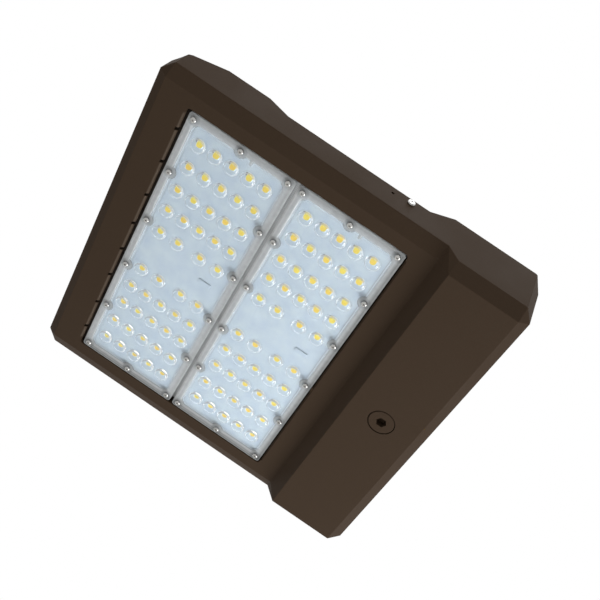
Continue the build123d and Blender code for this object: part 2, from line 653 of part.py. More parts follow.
for name, x in MODULES.items():
    screws_at = [(x + a, b) for a, b in LENS_SCREWS]
    chips_at = [(x + ARRAY_OFF + a, b) for a, b in CHIPS]
    lead_at = (x + LEAD_X, CABLES[name])

    with BuildPart() as lens_plate:
        with BuildSketch(level(FLANGE_FACE)):
            with Locations((x, 0)):
                rounded(MODULE_X / 2, MODULE_Y / 2, MODULE_CORNER)
        extrude(amount=FLANGE)
        with BuildSketch(level(FLANGE_FACE)):
            with Locations((x, 0)):
                rounded(OPTIC_X, OPTIC_Y, OPTIC_CORNER)
            with Locations(*screws_at):
                Circle(SCALLOP_R, mode=Mode.SUBTRACT)
        extrude(amount=OPTIC_SUNK, mode=Mode.SUBTRACT)
        with BuildSketch(level(FLANGE_FACE + OPTIC_SUNK + OPTIC_SKIN)):
            with Locations((x, 0)):
                rounded(HOLLOW_X, HOLLOW_Y, OPTIC_CORNER)
        extrude(amount=FLANGE - OPTIC_SUNK - OPTIC_SKIN, mode=Mode.SUBTRACT)
        with Locations(*[(a, b, FACE + FLANGE_FACE + OPTIC_SUNK) for a, b in chips_at]):
            add(dome.part)
        with BuildSketch(level(FLANGE_FACE)):
            with Locations(*screws_at):
                Circle(M3 + HOLE_GAP)
        extrude(amount=FLANGE, mode=Mode.SUBTRACT)
    save(lens_plate.part, f"lens_plate_{name}")

    with BuildPart() as lens_gasket:
        with BuildSketch(level(FLANGE_FACE + FLANGE)):
            with Locations((x, 0)):
                rounded(GASKET_OUT_X, GASKET_OUT_Y, MODULE_CORNER)
        extrude(amount=BOARD)
        with BuildSketch(level(FLANGE_FACE + FLANGE)):
            with Locations((x, 0)):
                rounded(GASKET_OUT_X - GASKET_WIDTH, GASKET_OUT_Y - GASKET_WIDTH, MODULE_CORNER)
            with Locations(*screws_at):
                Circle(M3 + HOLE_GAP)
        extrude(amount=BOARD, mode=Mode.SUBTRACT)
    save(lens_gasket.part, f"lens_gasket_{name}")

    with BuildPart() as led_board:
        with BuildSketch(level(FLANGE_FACE + FLANGE)):
            with Locations((x, 0)):
                rounded(GASKET_OUT_X - GASKET_WIDTH - BOARD_GAP, GASKET_OUT_Y - GASKET_WIDTH - BOARD_GAP,
                        MODULE_CORNER)
            with Locations(lead_at):
                Circle(CABLE_R + HOLE_GAP, mode=Mode.SUBTRACT)
        extrude(amount=BOARD)
    save(led_board.part, f"led_board_{name}")

    with BuildPart() as led_chips:
        with BuildSketch(level(FLANGE_FACE + FLANGE)):
            with Locations(*chips_at):
                Rectangle(CHIP, CHIP)
        extrude(amount=-CHIP_H)
    save(led_chips.part, f"led_chips_{name}")

    with BuildPart() as board_terminal:
        with BuildSketch(level(FLANGE_FACE + FLANGE)):
            with Locations(lead_at):
                Rectangle(TERMINAL[0], TERMINAL[1])
        extrude(amount=-TERMINAL[2])
        chamfer(board_terminal.faces().sort_by(Axis.Z)[0].edges(), length=0.3)
    save(board_terminal.part, f"board_terminal_{name}")

    with BuildPart() as bush:
        with BuildSketch(level(SINK_FACE)):
            with Locations(lead_at):
                Circle(BUSH_R)
        extrude(amount=PLATE)
        with BuildSketch(level(PLATE_TOP)):
            with Locations(lead_at):
                Circle(BUSH_LIP_R)
        extrude(amount=BUSH_LIP)
        with BuildSketch(level(SINK_FACE)):
            with Locations(lead_at):
                Circle(CABLE_R)
        extrude(amount=PLATE + BUSH_LIP, mode=Mode.SUBTRACT)
    save(bush.part, f"lead_bush_{name}")

every_lens_screw = [(x + a, b) for x in MODULES.values() for a, b in LENS_SCREWS]
save(screw(every_lens_screw, FLANGE_FACE, M3, LENS_SCREW_LONG, LENS_HEAD_R, LENS_HEAD_H, 1.1), "lens_screws")

# Side screws, heads outside
with BuildPart() as side_screws:
    for s in (-1, 1):
        with BuildSketch(on_side(s, SIDE_SCREW_X, SIDE_SCREW_Z)):
            Circle(M4)
        extrude(amount=-SIDE_SCREW_LONG)
        with BuildSketch(on_side(s, SIDE_SCREW_X, SIDE_SCREW_Z)):
            Circle(SIDE_HEAD_R)
        extrude(amount=SIDE_HEAD_H)
    rims = side_screws.edges().filter_by(GeomType.CIRCLE)
    rims = rims.filter_by(lambda e: abs(e.center().Y) > HALF + SIDE_HEAD_H / 2)
    fillet(rims, radius=SIDE_HEAD_H * 0.7)
    for s in (-1, 1):
        with BuildSketch(on_side(s, SIDE_SCREW_X, SIDE_SCREW_Z, HALF + SIDE_HEAD_H)):
            RegularPolygon(SIDE_SOCKET_R, 6)
        extrude(amount=-SIDE_HEAD_H * 0.6, mode=Mode.SUBTRACT)
save(side_screws.part, "side_screws")

# Driver lid: roof, skirt, tail over the hinge, knuckles and screw bosses
with BuildPart() as driver_lid:
    with BuildSketch(across(INNER_Y - LID_GAP)):
        roof = top_line(0, LID_IN, LID_TAIL) + list(reversed(top_line(LID_SKIN, LID_IN, LID_TAIL)))
        Polygon(*[(x, FACE + z) for x, z in roof], align=None)
    extrude(amount=2 * (INNER_Y - LID_GAP))
    with BuildSketch(level(SKIRT_FOOT)):
        add(plan_outline(LID_IN, LID_IN, LID_END))
        add(plan_outline(LID_IN + LID_SKIN, LID_IN + LID_SKIN, LID_END - LID_SKIN), mode=Mode.SUBTRACT)
    extrude(amount=DRIVER_TOP - SKIRT_FOOT)
    for x, y in LID_SCREWS:
        with BuildSketch(level(SKIRT_FOOT + RETAINER)):
            with Locations((x, y)):
                Circle(M5 + LID_SKIN)
        extrude(amount=DRIVER_TOP - SKIRT_FOOT - RETAINER - LID_SKIN / 2)
    for s in (-1, 1):
        with BuildSketch(across(s * HINGE_Y + KNUCKLE / 2)):
            with Locations((HINGE_X, FACE + HINGE_Z)):
                Circle(KNUCKLE_R)
            under = [(HINGE_X - KNUCKLE_R, HINGE_Z)]
            under += top_line(LID_SKIN / 2, HINGE_X - KNUCKLE_R, HINGE_X + KNUCKLE_R)
            under += [(HINGE_X + KNUCKLE_R, HINGE_Z)]
            Polygon(*[(x, FACE + z) for x, z in under], align=None)
        extrude(amount=KNUCKLE)
    # Walls' outline and cut corners trim the roof and skirt
    with BuildSketch(Plane.XZ):
        trim = [(LID_IN, 0)] + top_line(0, LID_IN, LID_TAIL) + [(LID_TAIL, 0)]
        Polygon(*[(x, FACE + z) for x, z in trim], align=None)
    extrude(amount=WIDTH, both=True, mode=Mode.INTERSECT)
    with BuildSketch(level(0)):
        add(plan_outline(LID_IN, LID_IN, LID_TAIL))
    extrude(amount=DRIVER_TOP + 1, mode=Mode.INTERSECT)
    with BuildSketch(level(0)):
        with Locations(*LID_SCREWS):
            Circle(M5 + HOLE_GAP)
    extrude(amount=DRIVER_TOP, mode=Mode.SUBTRACT)
    for s in (-1, 1):
        with BuildSketch(across(s * HINGE_Y + KNUCKLE / 2)):
            with Locations((HINGE_X, FACE + HINGE_Z)):
                Circle(PIN_R + RUN_GAP)
        extrude(amount=KNUCKLE, mode=Mode.SUBTRACT)
save(driver_lid.part, "driver_lid")

with BuildPart() as lid_gasket:
    with BuildSketch(level(PARTITION_TOP)):
        seal_in = WALL + SEAL_GAP
        add(plan_outline(seal_in, seal_in, LID_END))
        add(plan_outline(seal_in + SEAL_WIDTH, seal_in + SEAL_WIDTH, LID_END - SEAL_WIDTH),
            mode=Mode.SUBTRACT)
    extrude(amount=SEAL)
save(lid_gasket.part, "lid_gasket")

with BuildPart() as hinge_pins:
    for s in (-1, 1):
        with BuildSketch(across(s * HINGE_Y + LUG_STEP + LUG / 2 + PIN_PROUD)):
            with Locations((HINGE_X, FACE + HINGE_Z)):
                Circle(PIN_R)
        extrude(amount=2 * LUG_STEP + LUG + 2 * PIN_PROUD)
    chamfer(hinge_pins.edges().filter_by(GeomType.CIRCLE), length=0.4)
save(hinge_pins.part, "lid_hinge_pins")

save(screw_down(LID_SCREWS, DRIVER_TOP, M5, DRIVER_TOP - PARTITION_TOP + LID_SCREW_BITE,
                LID_SCREW_HEAD_R, LID_SCREW_HEAD_H, SOCKET_R), "lid_screws")

with BuildPart() as retainers:
    with BuildSketch(level(SKIRT_FOOT - RETAINER / 4)):
        with Locations(*LID_SCREWS):
            Circle(RETAINER_R)
            Circle(M5, mode=Mode.SUBTRACT)
    extrude(amount=RETAINER)
save(retainers.part, "lid_screw_retainers")

# Sensor port plug and its sealing ring
with BuildPart() as port_plug:
    with BuildSketch(level(-BELLY_DROP)):
        with Locations((PORT_X, 0)):
            Circle(PLUG_R)
    extrude(amount=PLUG_HEAD)
    rim = port_plug.edges().filter_by(GeomType.CIRCLE).sort_by(Axis.Z)[0]
    chamfer(rim, length=0.5)
    with BuildSketch(level(-BELLY_DROP + PLUG_HEAD)):
        with Locations((PORT_X, 0)):
            Circle(PLUG_THREAD_R)
    extrude(amount=PLUG_LONG - PLUG_HEAD)
    with BuildSketch(level(-BELLY_DROP)):
        with Locations((PORT_X, 0)):
            RegularPolygon(PLUG_SOCKET_R, 6)
    extrude(amount=PLUG_SOCKET_DEEP, mode=Mode.SUBTRACT)
save(port_plug.part, "port_plug")

with BuildPart() as plug_seal:
    with Locations((PORT_X, 0, FACE - BELLY_DROP + PLUG_HEAD + PLUG_SEAT / 2)):
        Torus((PLUG_THREAD_R + PLUG_R) / 2, RING_WIRE)
save(plug_seal.part, "port_plug_seal")

# Supply entry grommet in the pole-end wall
with BuildPart() as entry_grommet:
    with BuildSketch(END_WALL):
        Circle(ENTRY_LIP_R)
    extrude(amount=ENTRY_LIP)
    with BuildSketch(END_WALL):
        Circle(ENTRY_R)
    extrude(amount=WALL + PAD)
    with BuildSketch(END_WALL.offset(WALL + PAD)):
        Circle(ENTRY_R + GROMMET_LIP)
    extrude(amount=GROMMET_LIP)
    with BuildSketch(END_WALL):
        Circle(ENTRY_BORE_R)
    extrude(amount=WALL + PAD + GROMMET_LIP, mode=Mode.SUBTRACT)
    chamfer(entry_grommet.edges().filter_by(GeomType.CIRCLE).filter_by(
        lambda e: abs(e.radius - ENTRY_BORE_R) < 0.01), length=0.6)
save(entry_grommet.part, "entry_grommet")

# Partition: grommet for the module leads, breather and its nut
with BuildPart() as partition_grommet:
    with BuildSketch(PARTITION.offset(-GROMMET_LIP), PARTITION.offset(WALL)):
        with Locations((0, GROMMET_Z)):
            Circle(GROMMET_LIP_R)
    extrude(amount=GROMMET_LIP)
    with BuildSketch(PARTITION):
        with Locations((0, GROMMET_Z)):
            Circle(GROMMET_R)
    extrude(amount=WALL)
    with BuildSketch(PARTITION.offset(-GROMMET_LIP)):
        with Locations(*[(y, GROMMET_Z) for y in CABLES.values()]):
            Circle(CABLE_R)
    extrude(amount=WALL + 2 * GROMMET_LIP, mode=Mode.SUBTRACT)
save(partition_grommet.part, "partition_grommet")

with BuildPart() as breather:
    with BuildSketch(PARTITION.offset(-VENT_NUT - 1)):
        with Locations((VENT_Y, GROMMET_Z)):
            Circle(VENT_R)
    extrude(amount=WALL + VENT_NUT + 1)
    with BuildSketch(PARTITION.offset(WALL)):
        with Locations((VENT_Y, GROMMET_Z)):
            Circle(VENT_HEAD_R)
    extrude(amount=VENT_HEAD)
    fillet(breather.edges().filter_by(GeomType.CIRCLE).sort_by(Axis.X)[-1], radius=1.2)
    with BuildSketch(PARTITION.offset(WALL + VENT_HEAD)):
        with Locations((VENT_Y, GROMMET_Z)):
            with PolarLocations(VENT_HEAD_R / 2, 6):
                Circle(1)
    extrude(amount=-VENT_HEAD / 2, mode=Mode.SUBTRACT)
save(breather.part, "breather_vent")

with BuildPart() as vent_nut:
    with BuildSketch(PARTITION.offset(-VENT_NUT)):
        with Locations((VENT_Y, GROMMET_Z)):
            RegularPolygon(VENT_NUT_R, 6)
            Circle(VENT_R, mode=Mode.SUBTRACT)
    extrude(amount=VENT_NUT)
save(vent_nut.part, "breather_nut")

# Gear tray on its four posts
TRAY_MID = (TRAY_X[0] + TRAY_X[1]) / 2
TRAY_WIDE = TRAY_X[1] - TRAY_X[0]
with BuildPart() as gear_tray:
    with BuildSketch(level(TRAY_H)):
        with Locations((TRAY_MID, 0)):
            Rectangle(TRAY_WIDE, TRAY_Y)
    extrude(amount=TRAY)
    with BuildSketch(level(TRAY_H)):
        with Locations((TRAY_X[0] + TRAY / 2, 0), (TRAY_X[1] - TRAY / 2, 0)):
            Rectangle(TRAY, TRAY_Y - 4 * TRAY_LIP)
    extrude(amount=TRAY_LIP)
    with BuildSketch(level(TRAY_H)):
        with Locations(*POSTS):
            Circle(M4 + HOLE_GAP)
        with Locations(*DRIVER_SCREWS, EARTH_AT):
            Circle(M4 + THREAD_GAP)
        with Locations(*BLOCK_SCREWS):
            Circle(M3 + THREAD_GAP)
    extrude(amount=TRAY, mode=Mode.SUBTRACT)
save(gear_tray.part, "gear_tray")
save(screw_down(POSTS, SEAT_TOP, M4, TRAY_SCREW_LONG, TRAY_HEAD_R, TRAY_HEAD_H, SOCKET_R * 0.8),
     "tray_screws")

# Light driver: extruded case between two moulded caps with feet
DRIVER_MID = DRIVER_AT[1]
with BuildPart() as driver_case:
    with BuildSketch(level(SEAT_TOP)):
        with Locations(DRIVER_AT):
            Rectangle(DRIVER_X, DRIVER_Y - 2 * DRIVER_CAP)
    extrude(amount=DRIVER_Z)
    long_edges = driver_case.edges().filter_by(Axis.Y)
    fillet(long_edges, radius=DRIVER_ROUND)
save(driver_case.part, "led_driver_case")

with BuildPart() as driver_caps:
    for s in (-1, 1):
        with BuildSketch(level(SEAT_TOP)):
            with Locations((DRIVER_AT[0], DRIVER_MID + s * (DRIVER_Y - DRIVER_CAP) / 2)):
                Rectangle(DRIVER_X, DRIVER_CAP)
        extrude(amount=DRIVER_Z)
    fillet(driver_caps.edges().filter_by(Axis.Y), radius=DRIVER_ROUND)
    for s in (-1, 1):
        with BuildSketch(level(SEAT_TOP)):
            with Locations((DRIVER_AT[0], DRIVER_MID + s * (DRIVER_Y + DRIVER_FOOT[1] - 2) / 2)):
                Rectangle(DRIVER_FOOT[0], DRIVER_FOOT[1] + 2)
        extrude(amount=DRIVER_FOOT[2])
    with BuildSketch(level(SEAT_TOP)):
        with Locations(*DRIVER_SCREWS):
            Circle(M4 + HOLE_GAP)
    extrude(amount=DRIVER_FOOT[2], mode=Mode.SUBTRACT)
save(driver_caps.part, "led_driver_caps")
save(screw_down(DRIVER_SCREWS, SEAT_TOP + DRIVER_FOOT[2], M4, DRIVER_SCREW_LONG, TRAY_HEAD_R, TRAY_HEAD_H,
                SOCKET_R * 0.8), "driver_screws")

# Terminal block with its screws
with BuildPart() as terminal_block:
    with BuildSketch(level(SEAT_TOP)):
        with Locations(BLOCK_AT):
            Rectangle(BLOCK[0], BLOCK[1])
    extrude(amount=BLOCK[2])
    block_rim = terminal_block.edges().filter_by_position(Axis.Z, FACE + BLOCK_TOP, FACE + BLOCK_TOP)
    chamfer(block_rim, length=1.5)
    with BuildSketch(level(SEAT_TOP)):
        with Locations(BLOCK_AT):
            Rectangle(BLOCK_FOOT[0], BLOCK_FOOT[1])
    extrude(amount=BLOCK_FOOT[2])
    with BuildSketch(level(SEAT_TOP)):
        with Locations(*BLOCK_SCREWS):
            Circle(M3 + HOLE_GAP)
    extrude(amount=BLOCK_FOOT[2], mode=Mode.SUBTRACT)
    with BuildSketch(level(BLOCK_TOP)):
        with Locations(*[(x, BLOCK_AT[1] + t * POLE_ROW) for x in POLE_XS for t in (-1, 1)]):
            Circle(POLE_SCREW_R)
    extrude(amount=-POLE_SCREW_SUNK - POLE_SCREW_LONG, mode=Mode.SUBTRACT)
    with BuildSketch(across(BLOCK_AT[1] + BLOCK[1] / 2)):
        with Locations(*[(x, FACE + SEAT_TOP + LEAD_BLOCK_H) for x in POLE_XS]):
            Circle(WIRE_HOLE_R)
    extrude(amount=WIRE_HOLE_DEEP, mode=Mode.SUBTRACT)
    with BuildSketch(across(BLOCK_AT[1] - BLOCK[1] / 2)):
        with Locations(*[(x, FACE + SEAT_TOP + LEAD_EARTH_H) for x in POLE_XS]):
            Circle(WIRE_HOLE_R)
    extrude(amount=-WIRE_HOLE_DEEP, mode=Mode.SUBTRACT)
save(terminal_block.part, "terminal_block")
save(screw_down(BLOCK_SCREWS, SEAT_TOP + BLOCK_FOOT[2], M3, BLOCK_SCREW_LONG, BLOCK_HEAD_R,
                BLOCK_HEAD_H, 1.1), "block_screws")

with BuildPart() as pole_screws:
    with BuildSketch(level(BLOCK_TOP - POLE_SCREW_SUNK)):
        with Locations(*[(x, BLOCK_AT[1] + t * POLE_ROW) for x in POLE_XS for t in (-1, 1)]):
            Circle(POLE_SCREW_R)
    extrude(amount=-POLE_SCREW_LONG)
    with BuildSketch(level(BLOCK_TOP - POLE_SCREW_SUNK)):
        with Locations(*[(x, BLOCK_AT[1] + t * POLE_ROW) for x in POLE_XS for t in (-1, 1)]):
            Rectangle(2 * POLE_SCREW_R, 0.8)
    extrude(amount=-POLE_SCREW_SUNK, mode=Mode.SUBTRACT)
save(pole_screws.part, "terminal_screws")

# Earth point: ring lug under a screw in the tray
with BuildPart() as earth_lug:
    with BuildSketch(level(SEAT_TOP)):
        with Locations(EARTH_AT):
            Circle(LUG_RING_R)
        with Locations((EARTH_AT[0], EARTH_AT[1] + LUG_RING_R)):
            Rectangle(2 * LUG_BARREL_R, 2 * LUG_BARREL_R)
    extrude(amount=LUG_SHEET)
    with BuildSketch(level(SEAT_TOP)):
        with Locations(EARTH_AT):
            Circle(M4 + HOLE_GAP)
    extrude(amount=LUG_SHEET, mode=Mode.SUBTRACT)
    barrel = across(EARTH_AT[1] + LUG_RING_R + LUG_BARREL)
    with BuildSketch(barrel):
        with Locations((EARTH_AT[0], FACE + SEAT_TOP + LUG_BARREL_R)):
            Circle(LUG_BARREL_R)
    extrude(amount=LUG_BARREL)
    with BuildSketch(barrel):
        with Locations((EARTH_AT[0], FACE + SEAT_TOP + LUG_BARREL_R)):
            Circle(LEAD_R)
    extrude(amount=LUG_BARREL - 1, mode=Mode.SUBTRACT)
save(earth_lug.part, "earth_lug")
save(screw_down([EARTH_AT], SEAT_TOP + LUG_SHEET, M4, DRIVER_SCREW_LONG, TRAY_HEAD_R, TRAY_HEAD_H,
                SOCKET_R * 0.8), "earth_screw")


def lead(points, radius, bend):
    """Round lead along points (x, y, height) with equal bends."""
    path = [(x, y, FACE + z) for x, y, z in points]
    with BuildPart() as cord:
        with BuildLine():
            line = FilletPolyline(*path, radius=bend)
        with BuildSketch(Plane(origin=line @ 0, z_dir=line % 0)):
            Circle(radius)
        sweep()
    return cord.part


# Supply side leads: terminal block to driver, and earth lug to terminal block
block_side = BLOCK_AT[1] + BLOCK[1] / 2
for name, x, t in zip(("line_lead", "neutral_lead", "driver_earth_lead"), POLE_XS, (-1, 0, 1)):
    to_x = DRIVER_AT[0] + t * LEAD_DRIVER_PITCH
    entry = SEAT_TOP + LEAD_BLOCK_H
    leave = SEAT_TOP + LEAD_DRIVER_H
    save(lead([(x, block_side - WIRE_HOLE_DEEP + 1, entry), (x, block_side + 5, entry),
               (to_x, DRIVER_FACE[0] - 5, leave), (to_x, DRIVER_FACE[0], leave)], LEAD_R, LEAD_BEND), name)

lug_end = EARTH_AT[1] + LUG_RING_R + 1
lug_mid = EARTH_AT[1] + LUG_RING_R + LUG_BARREL
block_foot = BLOCK_AT[1] - BLOCK[1] / 2
save(lead([(EARTH_AT[0], lug_end, SEAT_TOP + LUG_BARREL_R),
           (EARTH_AT[0], lug_mid + EARTH_RUN, SEAT_TOP + LUG_BARREL_R),
           (EARTH_AT[0], block_foot - EARTH_RUN, SEAT_TOP + LEAD_EARTH_H),
           (EARTH_AT[0], block_foot + WIRE_HOLE_DEEP - 1, SEAT_TOP + LEAD_EARTH_H)],
          LEAD_R, EARTH_BEND), "earth_lead")

# Module leads: driver, partition grommet, lead channel between the fins, bush, board
for name, y in CABLES.items():
    start = DRIVER_FACE[1]
    run = CABLE_LONG_RUN[name]
    save(lead([(CABLE_START[name], start, GROMMET_Z),
               (CABLE_START[name], start + CABLE_TURN[name], GROMMET_Z),
               (run, start + CABLE_TURN[name], GROMMET_Z), (run, y, GROMMET_Z),
               (MODULES[name] + LEAD_X, y, GROMMET_Z), (MODULES[name] + LEAD_X, y, FLANGE_FACE + FLANGE)],
              CABLE_R, CABLE_BEND[name]), f"led_lead_{name}")
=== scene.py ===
"""Dark bronze area light head, seen from below, dressed over its CAD frame.

Metres in the row frame: x runs from the pole end outwards, z is up and the light
leaves along -z. New pieces are the two optic plates and the LED packages under
them. Every CAD node keeps its shape and takes the finish of its real material.
"""
import math
import bpy
import numpy as np
from mathutils import Euler, Matrix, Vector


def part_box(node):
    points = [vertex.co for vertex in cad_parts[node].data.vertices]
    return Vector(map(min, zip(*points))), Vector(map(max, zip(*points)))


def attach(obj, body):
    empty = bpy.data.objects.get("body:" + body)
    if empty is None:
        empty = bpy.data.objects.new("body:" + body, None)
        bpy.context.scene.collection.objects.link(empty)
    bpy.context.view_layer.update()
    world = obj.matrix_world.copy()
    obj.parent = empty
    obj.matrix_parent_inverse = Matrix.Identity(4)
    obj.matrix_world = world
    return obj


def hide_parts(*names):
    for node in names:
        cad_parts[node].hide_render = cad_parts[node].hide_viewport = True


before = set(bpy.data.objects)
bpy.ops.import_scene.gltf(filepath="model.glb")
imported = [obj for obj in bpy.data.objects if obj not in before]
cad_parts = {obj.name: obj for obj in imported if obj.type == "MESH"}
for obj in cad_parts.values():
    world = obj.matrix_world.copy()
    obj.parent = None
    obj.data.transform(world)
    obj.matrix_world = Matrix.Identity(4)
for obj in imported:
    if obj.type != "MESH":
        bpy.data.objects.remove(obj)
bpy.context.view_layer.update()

bl_info = {
    "name": "Area light head",
    "version": (1, 0, 0),
    "blender": (4, 5, 0),
    "location": "3D View > Sidebar > Area light",
    "description": "Optics, LED packages, finishes and studio for an area light head",
    "category": "Object",
}

MM = 0.001

# Facts read from the frame: each module's optic plate and the heat sink's underside
PLATES = {name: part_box("lens_plate_" + name) for name in ("inner", "outer")}
CENTRES = {name: (low.x + high.x) / 2 for name, (low, high) in PLATES.items()}
PLATE_LOW, PLATE_HIGH = PLATES["inner"]
PLATE_HALF_X = (PLATE_HIGH.x - PLATE_LOW.x) / 2
PLATE_HALF_Y = (PLATE_HIGH.y - PLATE_LOW.y) / 2
PLATE_BACK = PLATE_HIGH.z
SINK_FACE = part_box("heat_sink")[0].z

# Where the packages and screws stand on a module, in millimetres from its centre
COLUMNS = 17.5 * np.arange(-2, 3)
ROWS = (50.75, 75.25, 102.45, 128.05)
PAIR_ROW = 25.05
PAIR_COLUMNS = (-32.6, -12.55, 12.55, 32.6)
ARRAY_SHIFT = (0.8, 0.0)
PACKAGES = np.array(
    [(x, side * y) for y in ROWS for side in (-1, 1) for x in COLUMNS]
    + [(x, side * PAIR_ROW) for side in (-1, 1) for x in PAIR_COLUMNS]) + ARRAY_SHIFT
SCREW_COLUMN = 49.1
SCREW_ROWS = (29.6, 88.8, 148.0)
SCREWS = np.array(
    [(side * SCREW_COLUMN, end * y) for side in (-1, 1) for end in (-1, 1) for y in SCREW_ROWS]
    + [(0.0, -SCREW_ROWS[-1]), (0.0, SCREW_ROWS[-1])])

# Fixed lines of an optic plate in millimetres. IN means inwards from the plate's own edge,
# and a line is given as (place, width). The grooves lie inwards from the clear middle's edge
PLATE_CORNER = 3.0
MIDDLE_IN_X = 7.0
MIDDLE_IN_Y = 8.3
MIDDLE_CORNER = 8.0
OUTER_RIB_IN = 1.7
INNER_RIB_IN = 5.6
RIB_WIDTH = 0.9
GROOVES = ((0.0, 0.9), (2.4, 0.8))
# Painted shade, not moulded: the dark lines drawn along the far border of each plate
FAR_SHADE_LINES = ((1.8, 0.8), (4.3, 0.8), (6.7, 0.6))
GATE_X = -12.5
GATE_IN_Y = 9.0
GATE_HALF = (1.2, 3.4)
GATE_CORNER = 1.1
HOLLOW_IN_X = 4.6
HOLLOW_IN_Y = 6.4
HOLLOW_DRAFT = 0.2
BACK_CLEAR = 0.1
# Radius of the painted shadow ring round each screw head
SCREW_HEAD = 3.2
COARSE_STEP = 1.5
FINE_STEP = 0.3

# Shader values that several materials share. A Mix node of colours takes its share at input 0
# and the two colours at inputs 6 and 7, and gives the mixed colour at output 2
RGBA = {"data_type": "RGBA"}
MULTIPLY = {"operation": "MULTIPLY"}
MAXIMUM = {"operation": "MAXIMUM"}
ABSOLUTE = {"operation": "ABSOLUTE"}
WATER_CLEAR = "#F5F9FC"


def linear(hex_colour):
    """An sRGB hex colour as linear red, green, blue and a full alpha."""
    parts = [int(hex_colour[i:i + 2], 16) / 255 for i in (1, 3, 5)]
    return [p / 12.92 if p <= 0.04045 else ((p + 0.055) / 1.055) ** 2.4 for p in parts] + [1.0]


def per(millimetres):
    """Texture scale whose features are that many millimetres apart."""
    return 1 / (millimetres * MM)


def feed(tree, node, links):
    """Gives the node's inputs, by name or number, each a socket, a value or an sRGB hex colour."""
    for name, value in links.items():
        if isinstance(value, bpy.types.NodeSocket):
            tree.links.new(value, node.inputs[name])
        elif isinstance(value, str):
            node.inputs[name].default_value = linear(value)
        else:
            node.inputs[name].default_value = value


def add(tree, kind, links=None, settings=None, output=0):
    """Adds one node with these inputs and properties and returns one of its outputs."""
    node = tree.nodes.new(kind)
    for name, value in (settings or {}).items():
        setattr(node, name, value)
    feed(tree, node, links or {})
    return node.outputs[output] if node.outputs else None


def finish_of(name):
    """An empty material with a Principled shader on its output: (material, tree, place, shader)."""
    material = bpy.data.materials.new(name)
    material.use_nodes = True
    tree = material.node_tree
    tree.nodes.clear()
    place = add(tree, "ShaderNodeTexCoord", output="Object")
    surface = add(tree, "ShaderNodeBsdfPrincipled")
    add(tree, "ShaderNodeOutputMaterial", {"Surface": surface})
    return material, tree, place, surface.node


def mask_of(tree, *fades):
    """1 where every fade is full and 0 where any is out. A fade is (socket, out, full)."""
    mask = 1.0
    for value, out, full in fades:
        fade = add(tree, "ShaderNodeMapRange", {"Value": value, "From Min": out, "From Max": full})
        mask = add(tree, "ShaderNodeMath", {0: mask, 1: fade}, MULTIPLY)
    return mask


def powder_coat_nodes(tree, place, coat):
    """Colour, roughness and normal of the textured powder coat."""
    peel = add(tree, "ShaderNodeTexNoise", {
        "Vector": place, "Scale": 1 / coat.grain, "Detail": 2.0, "Roughness": 0.5})
    speckle = add(tree, "ShaderNodeTexNoise", {
        "Vector": place, "Scale": per(0.9), "Detail": 2.0, "Roughness": 0.55})
    clouds = add(tree, "ShaderNodeTexNoise", {
        "Vector": place, "Scale": per(55.0), "Detail": 2.0, "Roughness": 0.55})
    share = add(tree, "ShaderNodeMapRange", {
        "Value": speckle, "From Min": 0.25, "From Max": 0.75, "To Min": 0.35, "To Max": 0.65})
    tones = {0: share, 6: list(coat.dark) + [1.0], 7: list(coat.light) + [1.0]}
    rough = add(tree, "ShaderNodeMapRange", {
        "Value": clouds, "From Min": 0.3, "From Max": 0.7,
        "To Min": coat.roughness - 0.04, "To Max": coat.roughness + 0.04})
    bump = add(tree, "ShaderNodeBump", {"Height": peel, "Distance": coat.depth})
    return add(tree, "ShaderNodeMix", tones, RGBA, 2), rough, bump


def powder_coat(coat):
    """Polyester powder on die-cast aluminium: dark bronze, low sheen, with a fine pebbled skin
    that breaks highlights up and carries them softly along the bevels. The sloped lip beside
    the outer module is painted paler: painted light, as if a low lamp at the pole end lit it."""
    material, tree, place, shader = finish_of("bronze_powder_coat")
    colour, rough, bump = powder_coat_nodes(tree, place, coat)
    x, y, z = add(tree, "ShaderNodeSeparateXYZ", {"Vector": place}).node.outputs
    along = add(tree, "ShaderNodeMath", {0: y}, ABSOLUTE)
    # Painted light: the mask below paints the sloped lip beside the outer module a paler tone, as if
    # lit from the pole end
    lip_start = PLATES["outer"][1].x + 2.2 * MM
    lip_end = lip_start + 3.8 * MM
    lip_half = PLATE_HALF_Y - 4 * MM
    lip_top = PLATE_LOW.z + 5 * MM
    lip = mask_of(
        tree, (x, lip_start, lip_start + 0.4 * MM), (x, lip_end, lip_end - 1.2 * MM),
        (along, lip_half, lip_half - 3 * MM), (z, lip_top, lip_top - 2 * MM))
    feed(tree, shader, {
        "Base Color": add(tree, "ShaderNodeMix", {0: lip, 6: colour, 7: "#52473D"}, RGBA, 2),
        "Roughness": rough, "Normal": bump, "Specular IOR Level": coat.gloss})
    return material


